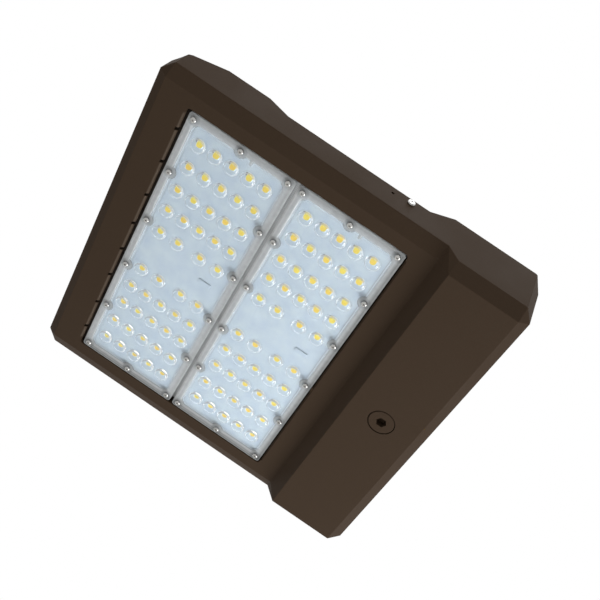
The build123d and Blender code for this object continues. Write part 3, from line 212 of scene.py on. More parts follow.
def sink_finish(coat):
    """The same powder on the heat sink. Its underside is masked for the modules: milled
    aluminium, dull grey with fine cutter lines, where they sit, and a near black band round
    them, painted shade that darkens the gap along the opening."""
    material, tree, place, shader = finish_of("coated_heat_sink")
    colour, _, bump = powder_coat_nodes(tree, place, coat)
    x, y, z = add(tree, "ShaderNodeSeparateXYZ", {"Vector": place}).node.outputs
    middle = sum(CENTRES.values()) / 2
    reach = (CENTRES["outer"] - CENTRES["inner"]) / 2 + PLATE_HALF_X
    off_x = add(tree, "ShaderNodeMath", {0: x, 1: middle}, {"operation": "SUBTRACT"})
    off_x = add(tree, "ShaderNodeMath", {0: off_x}, ABSOLUTE)
    off_y = add(tree, "ShaderNodeMath", {0: y}, ABSOLUTE)
    under = (z, SINK_FACE + 0.15 * MM, SINK_FACE + 0.05 * MM)
    # The band is painted shade: a near black colour round the seats that darkens the gap along the
    # opening
    band_past, seat_past, soft = 7 * MM, -3 * MM, 0.3 * MM
    band, seat = [mask_of(
        tree, under, (off_x, reach + past + soft, reach + past),
        (off_y, PLATE_HALF_Y + past + soft, PLATE_HALF_Y + past)) for past in (band_past, seat_past)]
    lines = {"Vector": place, "Scale": per(6.0), "Distortion": 0.3}
    cutter = add(tree, "ShaderNodeTexWave", lines, {"bands_direction": "Y"}, "Fac")
    milled = add(tree, "ShaderNodeMix", {0: cutter, 6: "#A2A3A3", 7: "#B6B7B7"}, RGBA, 2)
    # Painted shade: the band takes this near black colour
    painted = add(tree, "ShaderNodeMix", {0: band, 6: colour, 7: "#241E19"}, RGBA, 2)
    rough = add(tree, "ShaderNodeMapRange", {"Value": seat, "To Min": coat.roughness, "To Max": 0.42})
    feed(tree, shader, {
        "Base Color": add(tree, "ShaderNodeMix", {0: seat, 6: painted, 7: milled}, RGBA, 2),
        "Roughness": rough, "Metallic": seat, "Normal": bump, "Specular IOR Level": coat.gloss})
    return material


def clouded_metal(name, size, dark, light, smooth, rough, depth):
    """Metal whose tone and sheen drift in clouds of that size, over a bump of that depth, in
    millimetres."""
    material, tree, place, shader = finish_of(name)
    clouds = add(tree, "ShaderNodeTexNoise", {
        "Vector": place, "Scale": per(size), "Detail": 3.0, "Roughness": 0.55})
    feed(tree, shader, {
        "Base Color": add(tree, "ShaderNodeMix", {0: clouds, 6: dark, 7: light}, RGBA, 2),
        "Metallic": 1.0,
        "Roughness": add(tree, "ShaderNodeMapRange", {
            "Value": clouds, "From Min": 0.3, "From Max": 0.7, "To Min": smooth, "To Max": rough}),
        "Normal": add(tree, "ShaderNodeBump", {"Height": clouds, "Distance": depth * MM})})
    return material


def stainless():
    """A2 stainless screws, cold headed and passivated: bright metal with faint turning
    marks, dark in the sockets."""
    return clouded_metal("stainless_steel", 0.6, "#B4B3B1", "#DADAD8", 0.12, 0.26, 0.01)


def zinc_plate():
    """Bright zinc plated steel screws: bluish metal with clouds from the passivation."""
    return clouded_metal("zinc_plated_steel", 2.5, "#AEB5BD", "#D2D3C6", 0.24, 0.42, 0.01)


def tinned_copper():
    """Tin plated copper of the earth lug: pale warm metal, slightly uneven from the bath."""
    return clouded_metal("tinned_copper", 1.8, "#A8A49C", "#D0CDC6", 0.28, 0.45, 0.02)


def galvanised():
    """Galvanised steel sheet of the gear tray: flat grey metal in crystals about 9 mm wide,
    each with its own shade."""
    material, tree, place, shader = finish_of("galvanised_sheet")
    spangle = add(tree, "ShaderNodeTexVoronoi", {"Vector": place, "Scale": per(9.0)}, output="Color")
    shade = add(tree, "ShaderNodeRGBToBW", {"Color": spangle})
    skin = add(tree, "ShaderNodeTexNoise", {
        "Vector": place, "Scale": per(1.2), "Detail": 3.0, "Roughness": 0.55})
    feed(tree, shader, {
        "Base Color": add(tree, "ShaderNodeMix", {0: shade, 6: "#8C9296", 7: "#B9BDBF"}, RGBA, 2),
        "Metallic": 1.0,
        "Roughness": add(tree, "ShaderNodeMapRange", {"Value": shade, "To Min": 0.34, "To Max": 0.52}),
        "Normal": add(tree, "ShaderNodeBump", {"Height": skin, "Distance": 0.01 * MM})})
    return material


def satin_aluminium():
    """Extruded, etched aluminium of the driver case: fine die lines along its length."""
    material, tree, place, shader = finish_of("satin_aluminium")
    stretched = add(tree, "ShaderNodeMapping", {"Vector": place, "Scale": (1.0, 0.02, 1.0)})
    lines = add(tree, "ShaderNodeTexNoise", {
        "Vector": stretched, "Scale": per(0.7), "Detail": 2.0, "Roughness": 0.55})
    feed(tree, shader, {
        "Base Color": add(tree, "ShaderNodeMix", {0: lines, 6: "#A9ACAE", 7: "#C9CBCC"}, RGBA, 2),
        "Metallic": 1.0,
        "Roughness": add(tree, "ShaderNodeMapRange", {
            "Value": lines, "From Min": 0.3, "From Max": 0.7, "To Min": 0.34, "To Max": 0.48}),
        "Normal": add(tree, "ShaderNodeBump", {"Height": lines, "Distance": 0.02 * MM})})
    return material


def moulded(name, dark, light, roughness, spark):
    """Injection moulded plastic with a spark-eroded skin: even colour, soft dull sheen."""
    material, tree, place, shader = finish_of(name)
    skin = add(tree, "ShaderNodeTexNoise", {
        "Vector": place, "Scale": per(spark), "Detail": 2.0, "Roughness": 0.55})
    feed(tree, shader, {
        "Base Color": add(tree, "ShaderNodeMix", {0: skin, 6: dark, 7: light}, RGBA, 2),
        "Roughness": add(tree, "ShaderNodeMapRange", {
            "Value": skin, "From Min": 0.3, "From Max": 0.7,
            "To Min": roughness - 0.05, "To Max": roughness + 0.05}),
        "Normal": add(tree, "ShaderNodeBump", {"Height": skin, "Distance": 0.03 * MM}),
        "Specular IOR Level": 0.4})
    return material


def rubber(name, dark, light):
    """Moulded rubber or silicone: matt, with a trace of bloom in the hollows."""
    material, tree, place, shader = finish_of(name)
    bloom = add(tree, "ShaderNodeTexNoise", {
        "Vector": place, "Scale": per(4.0), "Detail": 4.0, "Roughness": 0.55})
    skin = add(tree, "ShaderNodeTexNoise", {
        "Vector": place, "Scale": per(0.5), "Detail": 3.0, "Roughness": 0.55})
    feed(tree, shader, {
        "Base Color": add(tree, "ShaderNodeMix", {0: bloom, 6: dark, 7: light}, RGBA, 2),
        "Roughness": add(tree, "ShaderNodeMapRange", {
            "Value": bloom, "From Min": 0.3, "From Max": 0.7, "To Min": 0.55, "To Max": 0.72}),
        "Normal": add(tree, "ShaderNodeBump", {"Height": skin, "Distance": 0.02 * MM}),
        "Specular IOR Level": 0.3})
    return material


def insulation(name, base, second=None):
    """PVC wire insulation: smooth, slightly waxy. The earth cores have a second colour
    in bands round the wire."""
    material, tree, place, shader = finish_of(name)
    wax = add(tree, "ShaderNodeTexNoise", {
        "Vector": place, "Scale": per(3.0), "Detail": 2.0, "Roughness": 0.55})
    pale = add(tree, "ShaderNodeMapRange", {
        "Value": wax, "From Min": 0.3, "From Max": 0.7, "To Max": 0.18})
    colour = add(tree, "ShaderNodeMix", {0: pale, 6: base, 7: "#DADADA"}, RGBA, 2)
    if second:
        turn = {"Vector": place, "Scale": per(26.0)}
        bands = add(tree, "ShaderNodeTexWave", turn, {"bands_direction": "DIAGONAL"}, "Fac")
        bands = add(tree, "ShaderNodeMapRange", {"Value": bands, "From Min": 0.48, "From Max": 0.52})
        colour = add(tree, "ShaderNodeMix", {0: bands, 6: colour, 7: second}, RGBA, 2)
    feed(tree, shader, {
        "Base Color": colour,
        "Roughness": add(tree, "ShaderNodeMapRange", {
            "Value": wax, "From Min": 0.3, "From Max": 0.7, "To Min": 0.32, "To Max": 0.44}),
        "Normal": add(tree, "ShaderNodeBump", {"Height": wax, "Distance": 0.02 * MM})})
    return material


def solder_mask():
    """White solder mask over an aluminium board: pale blue-white, satin and faintly mottled,
    with the copper areas standing 0.04 mm proud between narrow gaps."""
    material, tree, place, shader = finish_of("white_solder_mask")
    gaps = add(tree, "ShaderNodeTexBrick", {
        "Vector": place, "Scale": per(35.0), "Mortar Size": 0.012, "Mortar Smooth": 0.4,
        "Brick Width": 0.5, "Row Height": 0.72, "Bias": 0.0}, output="Fac")
    clouds = add(tree, "ShaderNodeTexNoise", {
        "Vector": place, "Scale": per(14.0), "Detail": 3.0, "Roughness": 0.55})
    mottle = add(tree, "ShaderNodeMapRange", {"Value": clouds, "From Min": 0.3, "From Max": 0.7})
    mask = add(tree, "ShaderNodeMix", {0: mottle, 6: "#BAC3CD", 7: "#C9D0D3"}, RGBA, 2)
    feed(tree, shader, {
        "Base Color": add(tree, "ShaderNodeMix", {0: gaps, 6: mask, 7: "#C0C8D0"}, RGBA, 2),
        "Roughness": add(tree, "ShaderNodeMapRange", {
            "Value": clouds, "From Min": 0.3, "From Max": 0.7, "To Min": 0.36, "To Max": 0.46}),
        "Normal": add(tree, "ShaderNodeBump", {"Height": gaps, "Distance": -0.04 * MM})})
    return material


def clear_optic(optic):
    """Moulded PMMA: water clear in the middle, where the board and packages show through,
    and frosted grey on the screw flange, with sharp highlights on the domes. The shade
    attribute is painted shade: it darkens grooves, borders and the pads and rings round the
    screws. The ring attribute is a painted highlight, a pale, less clear ring at the foot of
    each dome. Lamps pass through it unbent, so the board behind is lit as it is through a thin plate."""
    material, tree, place, shader = finish_of("moulded_pmma")
    frost, shade, painted_ring_light = [add(tree, "ShaderNodeAttribute", None, {"attribute_name": name}, "Fac")
                          for name in ("frost", "shade", "painted_ring_light")]
    clouds = add(tree, "ShaderNodeTexNoise", {
        "Vector": place, "Scale": per(5.0), "Detail": 4.0, "Roughness": 0.65})
    clouds = add(tree, "ShaderNodeMapRange", {"Value": clouds, "From Min": 0.3, "From Max": 0.7})
    grey = add(tree, "ShaderNodeMix", {0: clouds, 6: "#B4B6B7", 7: "#C9CACA"}, RGBA, 2)
    colour = add(tree, "ShaderNodeMix", {0: frost, 6: WATER_CLEAR, 7: grey}, RGBA, 2)
    # Painted shade: where the shade attribute is high the colour goes to this dark grey
    colour = add(tree, "ShaderNodeMix", {0: shade, 6: colour, 7: "#5A5C5C"}, RGBA, 2)
    # Painted highlight: a pale ring at the foot of each dome
    colour = add(tree, "ShaderNodeMix", {0: painted_ring_light, 6: colour, 7: "#F4F8FA"}, RGBA, 2)
    # The painted shade and the painted highlight also make the plate less clear, as the frost does
    frost_and_painted_light = add(tree, "ShaderNodeMath", {0: frost, 1: painted_ring_light}, MAXIMUM)
    frost_and_painted_light = add(tree, "ShaderNodeMath", {0: frost_and_painted_light, 1: shade}, MAXIMUM)
    haze = add(tree, "ShaderNodeTexNoise", {
        "Vector": place, "Scale": per(0.8), "Detail": 3.0, "Roughness": 0.55})
    haze = add(tree, "ShaderNodeMath", {0: haze, 1: frost}, MULTIPLY)
    feed(tree, shader, {
        "Base Color": colour,
        "Roughness": add(tree, "ShaderNodeMapRange", {
            "Value": frost, "To Min": 0.02, "To Max": optic.frost_roughness}),
        "Transmission Weight": add(tree, "ShaderNodeMapRange", {
            "Value": frost_and_painted_light, "To Min": 1.0, "To Max": optic.frost_clearness}),
        "IOR": 1.49,
        "Normal": add(tree, "ShaderNodeBump", {"Height": haze, "Distance": 0.05 * MM})})
    lamp_ray = add(tree, "ShaderNodeLightPath", output="Is Shadow Ray")
    through = add(tree, "ShaderNodeBsdfTransparent", {"Color": WATER_CLEAR})
    surface = add(tree, "ShaderNodeMixShader", {0: lamp_ray, 1: shader.outputs[0], 2: through})
    feed(tree, tree.nodes["Material Output"], {"Surface": surface})
    return material


def package_finish():
    """LED package: matt white reflector resin round a phosphor window that runs from lemon to
    warmer yellow from one package to the next, and the dark cathode pad beside it. "window"
    is -1 on the pad, 0 on the resin and 1 to 1.5 on the phosphor."""
    material, tree, place, shader = finish_of("led_package")
    window = add(tree, "ShaderNodeAttribute", None, {"attribute_name": "window"}, "Fac")
    speck = add(tree, "ShaderNodeTexNoise", {
        "Vector": place, "Scale": per(0.5), "Detail": 2.0, "Roughness": 0.55})
    warm = add(tree, "ShaderNodeMapRange", {
        "Value": window, "From Min": 1.0, "From Max": 1.5, "To Max": 0.6})
    resin = add(tree, "ShaderNodeMapRange", {"Value": window, "From Min": -1.0, "From Max": 0.0})
    inside = add(tree, "ShaderNodeMapRange", {"Value": window, "From Max": 0.5})
    phosphor = add(tree, "ShaderNodeMix", {0: speck, 6: "#EACB3A", 7: "#F4DE5C"}, RGBA, 2)
    phosphor = add(tree, "ShaderNodeMix", {0: warm, 6: phosphor, 7: "#F0BC48"}, RGBA, 2)
    body = add(tree, "ShaderNodeMix", {0: resin, 6: "#2A2C2F", 7: "#E8EBEE"}, RGBA, 2)
    feed(tree, shader, {
        "Base Color": add(tree, "ShaderNodeMix", {0: inside, 6: body, 7: phosphor}, RGBA, 2),
        "Roughness": add(tree, "ShaderNodeMapRange", {
            "Value": speck, "From Min": 0.3, "From Max": 0.7, "To Min": 0.32, "To Max": 0.46}),
        "Normal": add(tree, "ShaderNodeBump", {"Height": speck, "Distance": 0.01 * MM})})
    return material


def new_piece(name, points, faces, smooth, attributes, material):
    """A mesh object from whole arrays: points in metres, faces as lists of point numbers,
    smooth as one flag per face, attributes as one number per point."""
    mesh = bpy.data.meshes.new(name)
    mesh.from_pydata(points, [], faces, shade_flat=False)
    mesh.polygons.foreach_set("use_smooth", smooth)
    for title, values in attributes.items():
        layer = mesh.attributes.new(title, "FLOAT", "POINT")
        layer.data.foreach_set("value", np.asarray(values, np.float32))
    mesh.materials.append(material)
    mesh.validate()
    mesh.update()
    piece = bpy.data.objects.new(name, mesh)
    bpy.context.scene.collection.objects.link(piece)
    return piece


def eased(t):
    """0 to 1 along a smooth step, clamped."""
    t = np.clip(t, 0, 1)
    return t * t * (3 - 2 * t)


def line_at(distance, place, width):
    """A soft line: 1 where the distance equals place, easing to 0 that width either side."""
    return eased(1 - np.abs(distance - place) / width)


def to_rectangle(x, y, half_x, half_y, corner):
    """Signed distance to a rectangle with round corners, negative inside."""
    out_x = np.abs(x) - half_x + corner
    out_y = np.abs(y) - half_y + corner
    outside = np.hypot(np.maximum(out_x, 0), np.maximum(out_y, 0))
    return outside + np.minimum(np.maximum(out_x, out_y), 0) - corner


def stations(half, bands, marks, step):
    """Places from -half to half for the grid's lines, as equal steps along the summed line
    density: step apart in the bands that hold domes, the fine step within 1 mm of a mark
    and the coarse step elsewhere, with soft changes. A band is (middle, reach), and bands
    and marks are given for the positive side."""
    place = np.linspace(-half, half, 20001)
    side = np.abs(place)[:, None]
    middles, reach = np.array(bands).T
    inside = eased(1.5 - np.min(np.abs(side - middles) - reach, axis=1) / 1.5)
    near = eased(2.0 - np.min(np.abs(side - np.array(marks)), axis=1))
    spacing = COARSE_STEP + (step - COARSE_STEP) * inside
    spacing += (FINE_STEP - spacing) * near
    density = 1 / spacing
    count = np.concatenate([[0], np.cumsum((density[1:] + density[:-1]) / 2 * np.diff(place))])
    steps = int(math.ceil(count[-1]))
    return np.interp(np.linspace(0, count[-1], steps + 1), count, place)


def plate_distances(x, y, optic):
    """What the plate's surface follows at (x, y) millimetres from the module's centre, as
    distances, negative inside: to the rounded rectangle of the clear middle, to its edge with
    a circle left round every screw and a slot at the moulding's gate, to the plate's own edge,
    the nearest screw's centre, and the nearest dome's, where 1 is the dome's foot."""
    half_x, half_y = PLATE_HALF_X / MM, PLATE_HALF_Y / MM
    middle = to_rectangle(x, y, half_x - MIDDLE_IN_X, half_y - MIDDLE_IN_Y, MIDDLE_CORNER)
    to_screw = np.hypot(x[..., None] - SCREWS[:, 0], y[..., None] - SCREWS[:, 1]).min(-1)
    gate = to_rectangle(x - GATE_X, y - half_y + GATE_IN_Y, *GATE_HALF, GATE_CORNER)
    edge = np.maximum(np.maximum(middle, optic.scallop / MM - to_screw), -gate)
    rim = to_rectangle(x, y, half_x, half_y, PLATE_CORNER)
    across = (x[..., None] - PACKAGES[:, 0]) / (optic.dome_long / MM)
    along = (y[..., None] - PACKAGES[:, 1]) / (optic.dome_wide / MM)
    return middle, edge, rim, to_screw, np.hypot(across, along).min(-1)


def optic_relief(edge, rim, out, optic):
    """How far the plate's light side stands off its flange, in millimetres. The clear middle
    is sunk on a smooth step, with one shallow groove along it and one inside it. Two ribs
    run inside the plate's edge, whose corner is rounded off. Each package has a spherical
    cap on a short steep shoulder."""
    height = -optic.sunk / MM * eased(0.5 - edge / (optic.chamfer / MM))
    first, second = [line_at(edge, -place, width) for place, width in GROOVES]
    height -= 0.22 * first + 0.1 * second
    ribs = line_at(rim, -OUTER_RIB_IN, RIB_WIDTH) + 0.7 * line_at(rim, -INNER_RIB_IN, RIB_WIDTH)
    height += optic.rib / MM * ribs
    height -= 0.12 * eased(1 + rim / 0.5)
    bend = 0.92
    foot = math.sqrt(1 - bend ** 2)
    cap = (np.sqrt(np.clip(1 - (bend * np.minimum(out, 1)) ** 2, 0, 1)) - foot) / (1 - foot)
    height += optic.shoulder / MM * eased((1 - out) / 0.1)
    return height + (optic.dome - optic.shoulder) / MM * cap


def optic_looks(name, x, y, distances, optic):
    """Frost, painted shade and a painted highlight on the plate's light side, each from 0 to 1.
    Frost covers the flange. The painted shade darkens the grooves, the border beside the
    opening more than the one between the modules, lines along the far border, the pads and
    rings round the screws, and a ring just outside each dome's foot. The painted highlight is
    a pale ring at the foot of each dome."""
    middle, edge, rim, to_screw, out = distances
    frost = eased(0.5 + (edge + 0.3) / 2.4)
    outward = {"inner": -x, "outer": x}[name]
    # Painted shade along the border beside the opening, stronger on the inner module though both
    # mouldings are alike
    strength = {"inner": 0.55, "outer": 0.1}[name]
    border = strength * eased((outward - PLATE_HALF_X / MM + 5.5) / 5.0)
    border = np.maximum(border, 0.34 * eased((np.abs(y) - PLATE_HALF_Y / MM + 6.0) / 5.0))
    first, second = [line_at(edge, -place, width) for place, width in GROOVES]
    # Painted shade in the grooves and along the border
    shade = 0.16 * first + 0.1 * second + border
    shade += 0.2 * line_at(rim, -3.3, 1.0) * (0.1 + border)
    # Painted shade: dark lines along the far border only
    far = eased((-y - PLATE_HALF_Y / MM + 9.0) / 3.0)
    shade += 0.8 * far * sum(line_at(rim, -place, width) for place, width in FAR_SHADE_LINES)
    scallop = optic.scallop / MM
    # Painted shade on the pads round the screws and along the scallops' edge
    shade += 0.26 * eased((scallop - to_screw) / 0.8)
    shade += 0.5 * eased(0.8 - middle) * line_at(to_screw, scallop, 0.9)
    # Painted shadow in a ring round each screw head
    shade = np.maximum(shade, 0.75 * line_at(to_screw, SCREW_HEAD, 1.1))
    # Painted shade in a ring just outside each dome's foot
    shade = np.clip(shade + 0.2 * line_at(out, 1.1, 0.1), 0, 1)
    # Painted highlight: a pale ring at the foot of each dome
    return {"frost": frost, "shade": shade, "painted_ring_light": 0.85 * line_at(out, 0.9, 0.17)}


def optic_plate(name, optic):
    """One module's plate. The light side is the height field above on a grid whose rows
    shorten at the round corners; a wall, the flange's back and the hollow behind the
    clear middle are rings carried round the same border, and a flat cap closes them."""
    half_x, half_y = PLATE_HALF_X / MM, PLATE_HALF_Y / MM
    step = optic.step / MM
    grid_x = stations(half_x, [(0.0, 44.0)], (half_x - MIDDLE_IN_X, half_x - OUTER_RIB_IN), step)
    bands = [(row, 7.5) for row in (PAIR_ROW, *ROWS)] + [(SCREW_ROWS[1], 6.0)]
    grid_y = stations(half_y, bands, (half_y - MIDDLE_IN_Y, half_y - OUTER_RIB_IN), step)
    bite = np.clip(np.abs(grid_y) - (half_y - PLATE_CORNER), 0, PLATE_CORNER)
    reach = (half_x - PLATE_CORNER + np.sqrt(PLATE_CORNER ** 2 - bite ** 2)) / half_x
    x = grid_x[None, :] * reach[:, None]
    y = np.repeat(grid_y[:, None], len(grid_x), axis=1)
    distances = plate_distances(x, y, optic)
    _, edge, rim, _, out = distances
    back = PLATE_BACK / MM - BACK_CLEAR
    front = back - optic.flange / MM
    light = np.stack([x, y, front - optic_relief(edge, rim, out, optic)], -1).reshape(-1, 3)
    numbers = np.arange(x.size).reshape(x.shape)
    corners = [numbers[:-1, :-1], numbers[1:, :-1], numbers[1:, 1:], numbers[:-1, 1:]]
    quads = np.stack(corners, -1).reshape(-1, 4)
    border = [numbers[0, :-1], numbers[:-1, -1], numbers[-1, :0:-1], numbers[:0:-1, 0]]
    border = np.concatenate(border)
    line = light[border]
    mouth = (1 - HOLLOW_IN_X / half_x, 1 - HOLLOW_IN_Y / half_y)
    floor = (mouth[0] - HOLLOW_DRAFT / half_x, mouth[1] - HOLLOW_DRAFT / half_y)
    rings = [(1.0, 1.0, back), (*mouth, back), (*floor, back - optic.hollow / MM)]
    loops = [np.column_stack([line[:, :2] * (share_x, share_y), np.full(len(line), z)])
             for share_x, share_y, z in rings]
    points = np.concatenate([light] + loops)
    starts = [border] + [len(light) + k * len(line) + np.arange(len(line)) for k in range(3)]
    walls = [np.stack([a, np.roll(a, -1), np.roll(b, -1), b], -1) for a, b in zip(starts, starts[1:])]
    faces = np.concatenate([quads] + walls).tolist() + [starts[-1].tolist()]
    smooth = np.arange(len(faces)) < len(quads)
    on_rings = {"frost": (1.0, 1.0, 0.0), "shade": (0.0, 0.0, 0.0), "painted_ring_light": (0.0, 0.0, 0.0)}
    looks = optic_looks(name, x, y, distances, optic)
    looks = {title: np.concatenate([values.reshape(-1), np.repeat(on_rings[title], len(line))])
             for title, values in looks.items()}
    points[:, 0] += CENTRES[name] / MM
    pmma = bpy.data.materials.get("moulded_pmma") or clear_optic(optic)
    piece = new_piece("optic_" + name, points * MM, faces, smooth, looks, pmma)
    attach(piece, "root")
    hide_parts("lens_plate_" + name)


def package_block(package):
    """One LED package as rings of a superellipse, from its foot on the board to the middle
    of its window: (points, faces, window), with the foot and the window's centre closed.
    The window's rings are drawn rounder, by a power of each point's distance."""
    sides = 24
    turns = np.linspace(0, 2 * math.pi, sides, endpoint=False)
    power = 2 / 7.0
    ring_x = np.sign(np.cos(turns)) * np.abs(np.cos(turns)) ** power
    ring_y = np.sign(np.sin(turns)) * np.abs(np.sin(turns)) ** power
    half, window, tall = package.size / MM / 2, package.window / MM / 2, package.height / MM
    bevel, rim = 0.1, 0.12
    profile = np.array([
        (half, 0.0), (half, tall - rim), (half - bevel, tall), (window + rim, tall),
        (window, tall - bevel), (window * 0.6, tall - 0.04), (window * 0.2, tall - 0.02)])
    yellow = np.array([0, 0, 0, 0, 1, 1, 1], float)
    rings = [np.stack([ring_x * r, ring_y * r, np.full(sides, -h)], -1) for r, h in profile]
    rounder = 1.12 / np.hypot(ring_x, ring_y)[:, None] ** 0.8
    for ring in rings[3:]:
        ring[:, :2] *= rounder
    points = np.concatenate(rings + [np.array([[0, 0, 0.0], [0, 0, 0.02 - tall]])])
    first = np.arange(sides)
    after = np.roll(first, -1)
    faces = []
    for a in range(0, sides * (len(profile) - 1), sides):
        b = a + sides
        faces += np.stack([first + a, first + b, after + b, after + a], -1).tolist()
    last = sides * (len(profile) - 1)
    foot = sides * len(profile)
    faces += np.stack([after, np.full(sides, foot), first], -1).tolist()
    faces += np.stack([first + last, np.full(sides, foot + 1), after + last], -1).tolist()
    return points, faces, np.concatenate([np.repeat(yellow, sides), [0, 1]])


def cathode_block(package):
    """The dark cathode pad beside a package: a low block with its top edges drawn in."""
    half_x, half_y, tall = 0.6, 1.1, 0.18
    beside = (package.size / MM / 2 + 0.65, 1.2, 0.0)
    low = np.array([(-half_x, -half_y), (half_x, -half_y), (half_x, half_y), (-half_x, half_y)])
    foot = np.column_stack([low, np.zeros(4)])
    top = np.column_stack([low * 0.9, np.full(4, -tall)])
    faces = [[0, 1, 2, 3], [4, 7, 6, 5], [0, 4, 5, 1], [1, 5, 6, 2], [2, 6, 7, 3], [3, 7, 4, 0]]
    return np.concatenate([foot, top]) + beside, faces, np.full(8, -1.0)


def package_field(name, package):
    """All packages of one module: the same two blocks moved to every place of the array. Each
    window's mark is raised by its own share of a half, which the phosphor takes as its tint,
    from the fractions of the golden ratio's multiples."""
    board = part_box("led_board_" + name)[0].z / MM
    spots = np.column_stack([PACKAGES, np.zeros(len(PACKAGES))])
    tint = 1 + 0.5 * np.modf(0.618 * np.arange(len(PACKAGES)))[0]
    points, faces, marks, count = [], [], [], 0
    for block, block_faces, block_marks in (package_block(package), cathode_block(package)):
        points.append((block[None] + spots[:, None]).reshape(-1, 3))
        raised = np.maximum(block_marks, 0)[None] * tint[:, None]
        marks.append((raised + np.minimum(block_marks, 0)).reshape(-1))
        for k in range(len(PACKAGES)):
            faces += [[count + k * len(block) + i for i in face] for face in block_faces]
        count += len(block) * len(PACKAGES)
    points = np.concatenate(points) + (CENTRES[name] / MM, 0.0, board)
    smooth = np.zeros(len(faces), bool)
    marks = {"window": np.concatenate(marks)}
    finish = bpy.data.materials.get("led_package") or package_finish()
    piece = new_piece("packages_" + name, points * MM, faces, smooth, marks, finish)
    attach(piece, "root")
    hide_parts("led_chips_" + name)


def paint(nodes, material):
    """Gives these CAD nodes one finish in all their slots."""
    for node in nodes:
        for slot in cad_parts[node].material_slots:
            slot.material = material


class CoatSettings(bpy.types.PropertyGroup):
    dark: bpy.props.FloatVectorProperty(
        name="Dark tone", description="Deeper tone of the coat", subtype="COLOR",
        default=linear("#362B21")[:3], min=0, max=1)
    light: bpy.props.FloatVectorProperty(
        name="Light tone", description="Lighter tone of the coat", subtype="COLOR",
        default=linear("#42352A")[:3], min=0, max=1)
    grain: bpy.props.FloatProperty(
        name="Grain", description="Spacing of the pebbled skin, drawn coarse enough to show",
        default=1.1 * MM, min=0.0002, max=0.005, unit="LENGTH", precision=5)
    depth: bpy.props.FloatProperty(
        name="Depth", description="Depth of the pebbled skin",
        default=0.05 * MM, min=0.0, max=0.001, unit="LENGTH", precision=6)
    roughness: bpy.props.FloatProperty(
        name="Roughness", description="Roughness of the coat",
        default=0.6, min=0.1, max=1, subtype="FACTOR")
    gloss: bpy.props.FloatProperty(
        name="Gloss", description="Strength of its reflection",
        default=0.04, min=0, max=1, subtype="FACTOR")


class OpticSettings(bpy.types.PropertyGroup):
    flange: bpy.props.FloatProperty(
        name="Flange", description="Thickness of the screw flange",
        default=4.6 * MM, min=0.001, max=0.006, unit="LENGTH", precision=5)
    sunk: bpy.props.FloatProperty(
        name="Sunk", description="How far the clear middle lies behind the flange",
        default=0.4 * MM, min=0.0, max=0.002, unit="LENGTH", precision=5)
    chamfer: bpy.props.FloatProperty(
        name="Edge run", description="Width of the step round the clear middle",
        default=1.3 * MM, min=0.0003, max=0.004, unit="LENGTH", precision=5)
    hollow: bpy.props.FloatProperty(
        name="Hollow", description="Depth of the hollow in the plate's back",
        default=1.7 * MM, min=0.0, max=0.003, unit="LENGTH", precision=5)
    scallop: bpy.props.FloatProperty(
        name="Scallop", description="Radius of the flange left round each screw",
        default=6.4 * MM, min=0.003, max=0.009, unit="LENGTH", precision=5)
    rib: bpy.props.FloatProperty(
        name="Border rib", description="Height of the outer rib along the edge",
        default=0.22 * MM, min=0.0, max=0.001, unit="LENGTH", precision=5)
    dome: bpy.props.FloatProperty(
        name="Dome", description="Height of a dome",
        default=3.2 * MM, min=0.001, max=0.005, unit="LENGTH", precision=5)
    shoulder: bpy.props.FloatProperty(
        name="Shoulder", description="Height of a dome's steep foot",
        default=1.1 * MM, min=0.0, max=0.002, unit="LENGTH", precision=5)
    dome_long: bpy.props.FloatProperty(
        name="Dome along", description="Half size of a dome along the head",
        default=7.3 * MM, min=0.004, max=0.009, unit="LENGTH", precision=5)
    dome_wide: bpy.props.FloatProperty(
        name="Dome across", description="Half size of a dome across the head",
        default=7.0 * MM, min=0.004, max=0.009, unit="LENGTH", precision=5)
    step: bpy.props.FloatProperty(
        name="Grid step", description="Spacing of the surface grid over the domes",
        default=0.58 * MM, min=0.0004, max=0.003, unit="LENGTH", precision=5)
    frost_roughness: bpy.props.FloatProperty(
        name="Frost", description="Roughness of the flange",
        default=0.38, min=0.05, max=1, subtype="FACTOR")
    frost_clearness: bpy.props.FloatProperty(
        name="Clearness", description="Light that still passes the frost",
        default=0.45, min=0, max=1, subtype="FACTOR")


class PackageSettings(bpy.types.PropertyGroup):
    size: bpy.props.FloatProperty(
        name="Package", description="Side of the package",
        default=5.2 * MM, min=0.002, max=0.008, unit="LENGTH", precision=5)
    window: bpy.props.FloatProperty(
        name="Window", description="Side of the phosphor window",
        default=4.25 * MM, min=0.001, max=0.007, unit="LENGTH", precision=5)
    height: bpy.props.FloatProperty(
        name="Height", description="Package height on the board",
        default=0.7 * MM, min=0.0003, max=0.001, unit="LENGTH", precision=5)


class StudioSettings(bpy.types.PropertyGroup):
    floor: bpy.props.FloatProperty(
        name="Floor", description="Height of the floor",
        default=-1.3, min=-5, max=-1.0, unit="LENGTH")
    floor_tone: bpy.props.FloatVectorProperty(
        name="Floor tone", description="Colour of the floor", subtype="COLOR",
        default=linear("#ECECEA")[:3], min=0, max=1)
    fill: bpy.props.FloatProperty(
        name="Fill", description="Even light from all round", default=0.5, min=0, max=2)
    key: bpy.props.FloatProperty(
        name="Key", description="Power of the lamp below and beyond the pole end",
        default=15.8, min=0, max=200)
    side: bpy.props.FloatProperty(
        name="Side", description="Power of the lamp on the camera's side",
        default=6.0, min=0, max=200)
    top: bpy.props.FloatProperty(
        name="Top", description="Power of the lamp above the head",
        default=9.0, min=0, max=200)
    strip: bpy.props.FloatProperty(
        name="Strip", description="Power of the long strip on the far side",
        default=3.0, min=0, max=200)
    lens: bpy.props.FloatProperty(
        name="Lens", description="Focal length of the camera in millimetres",
        default=54.77, min=20, max=200)


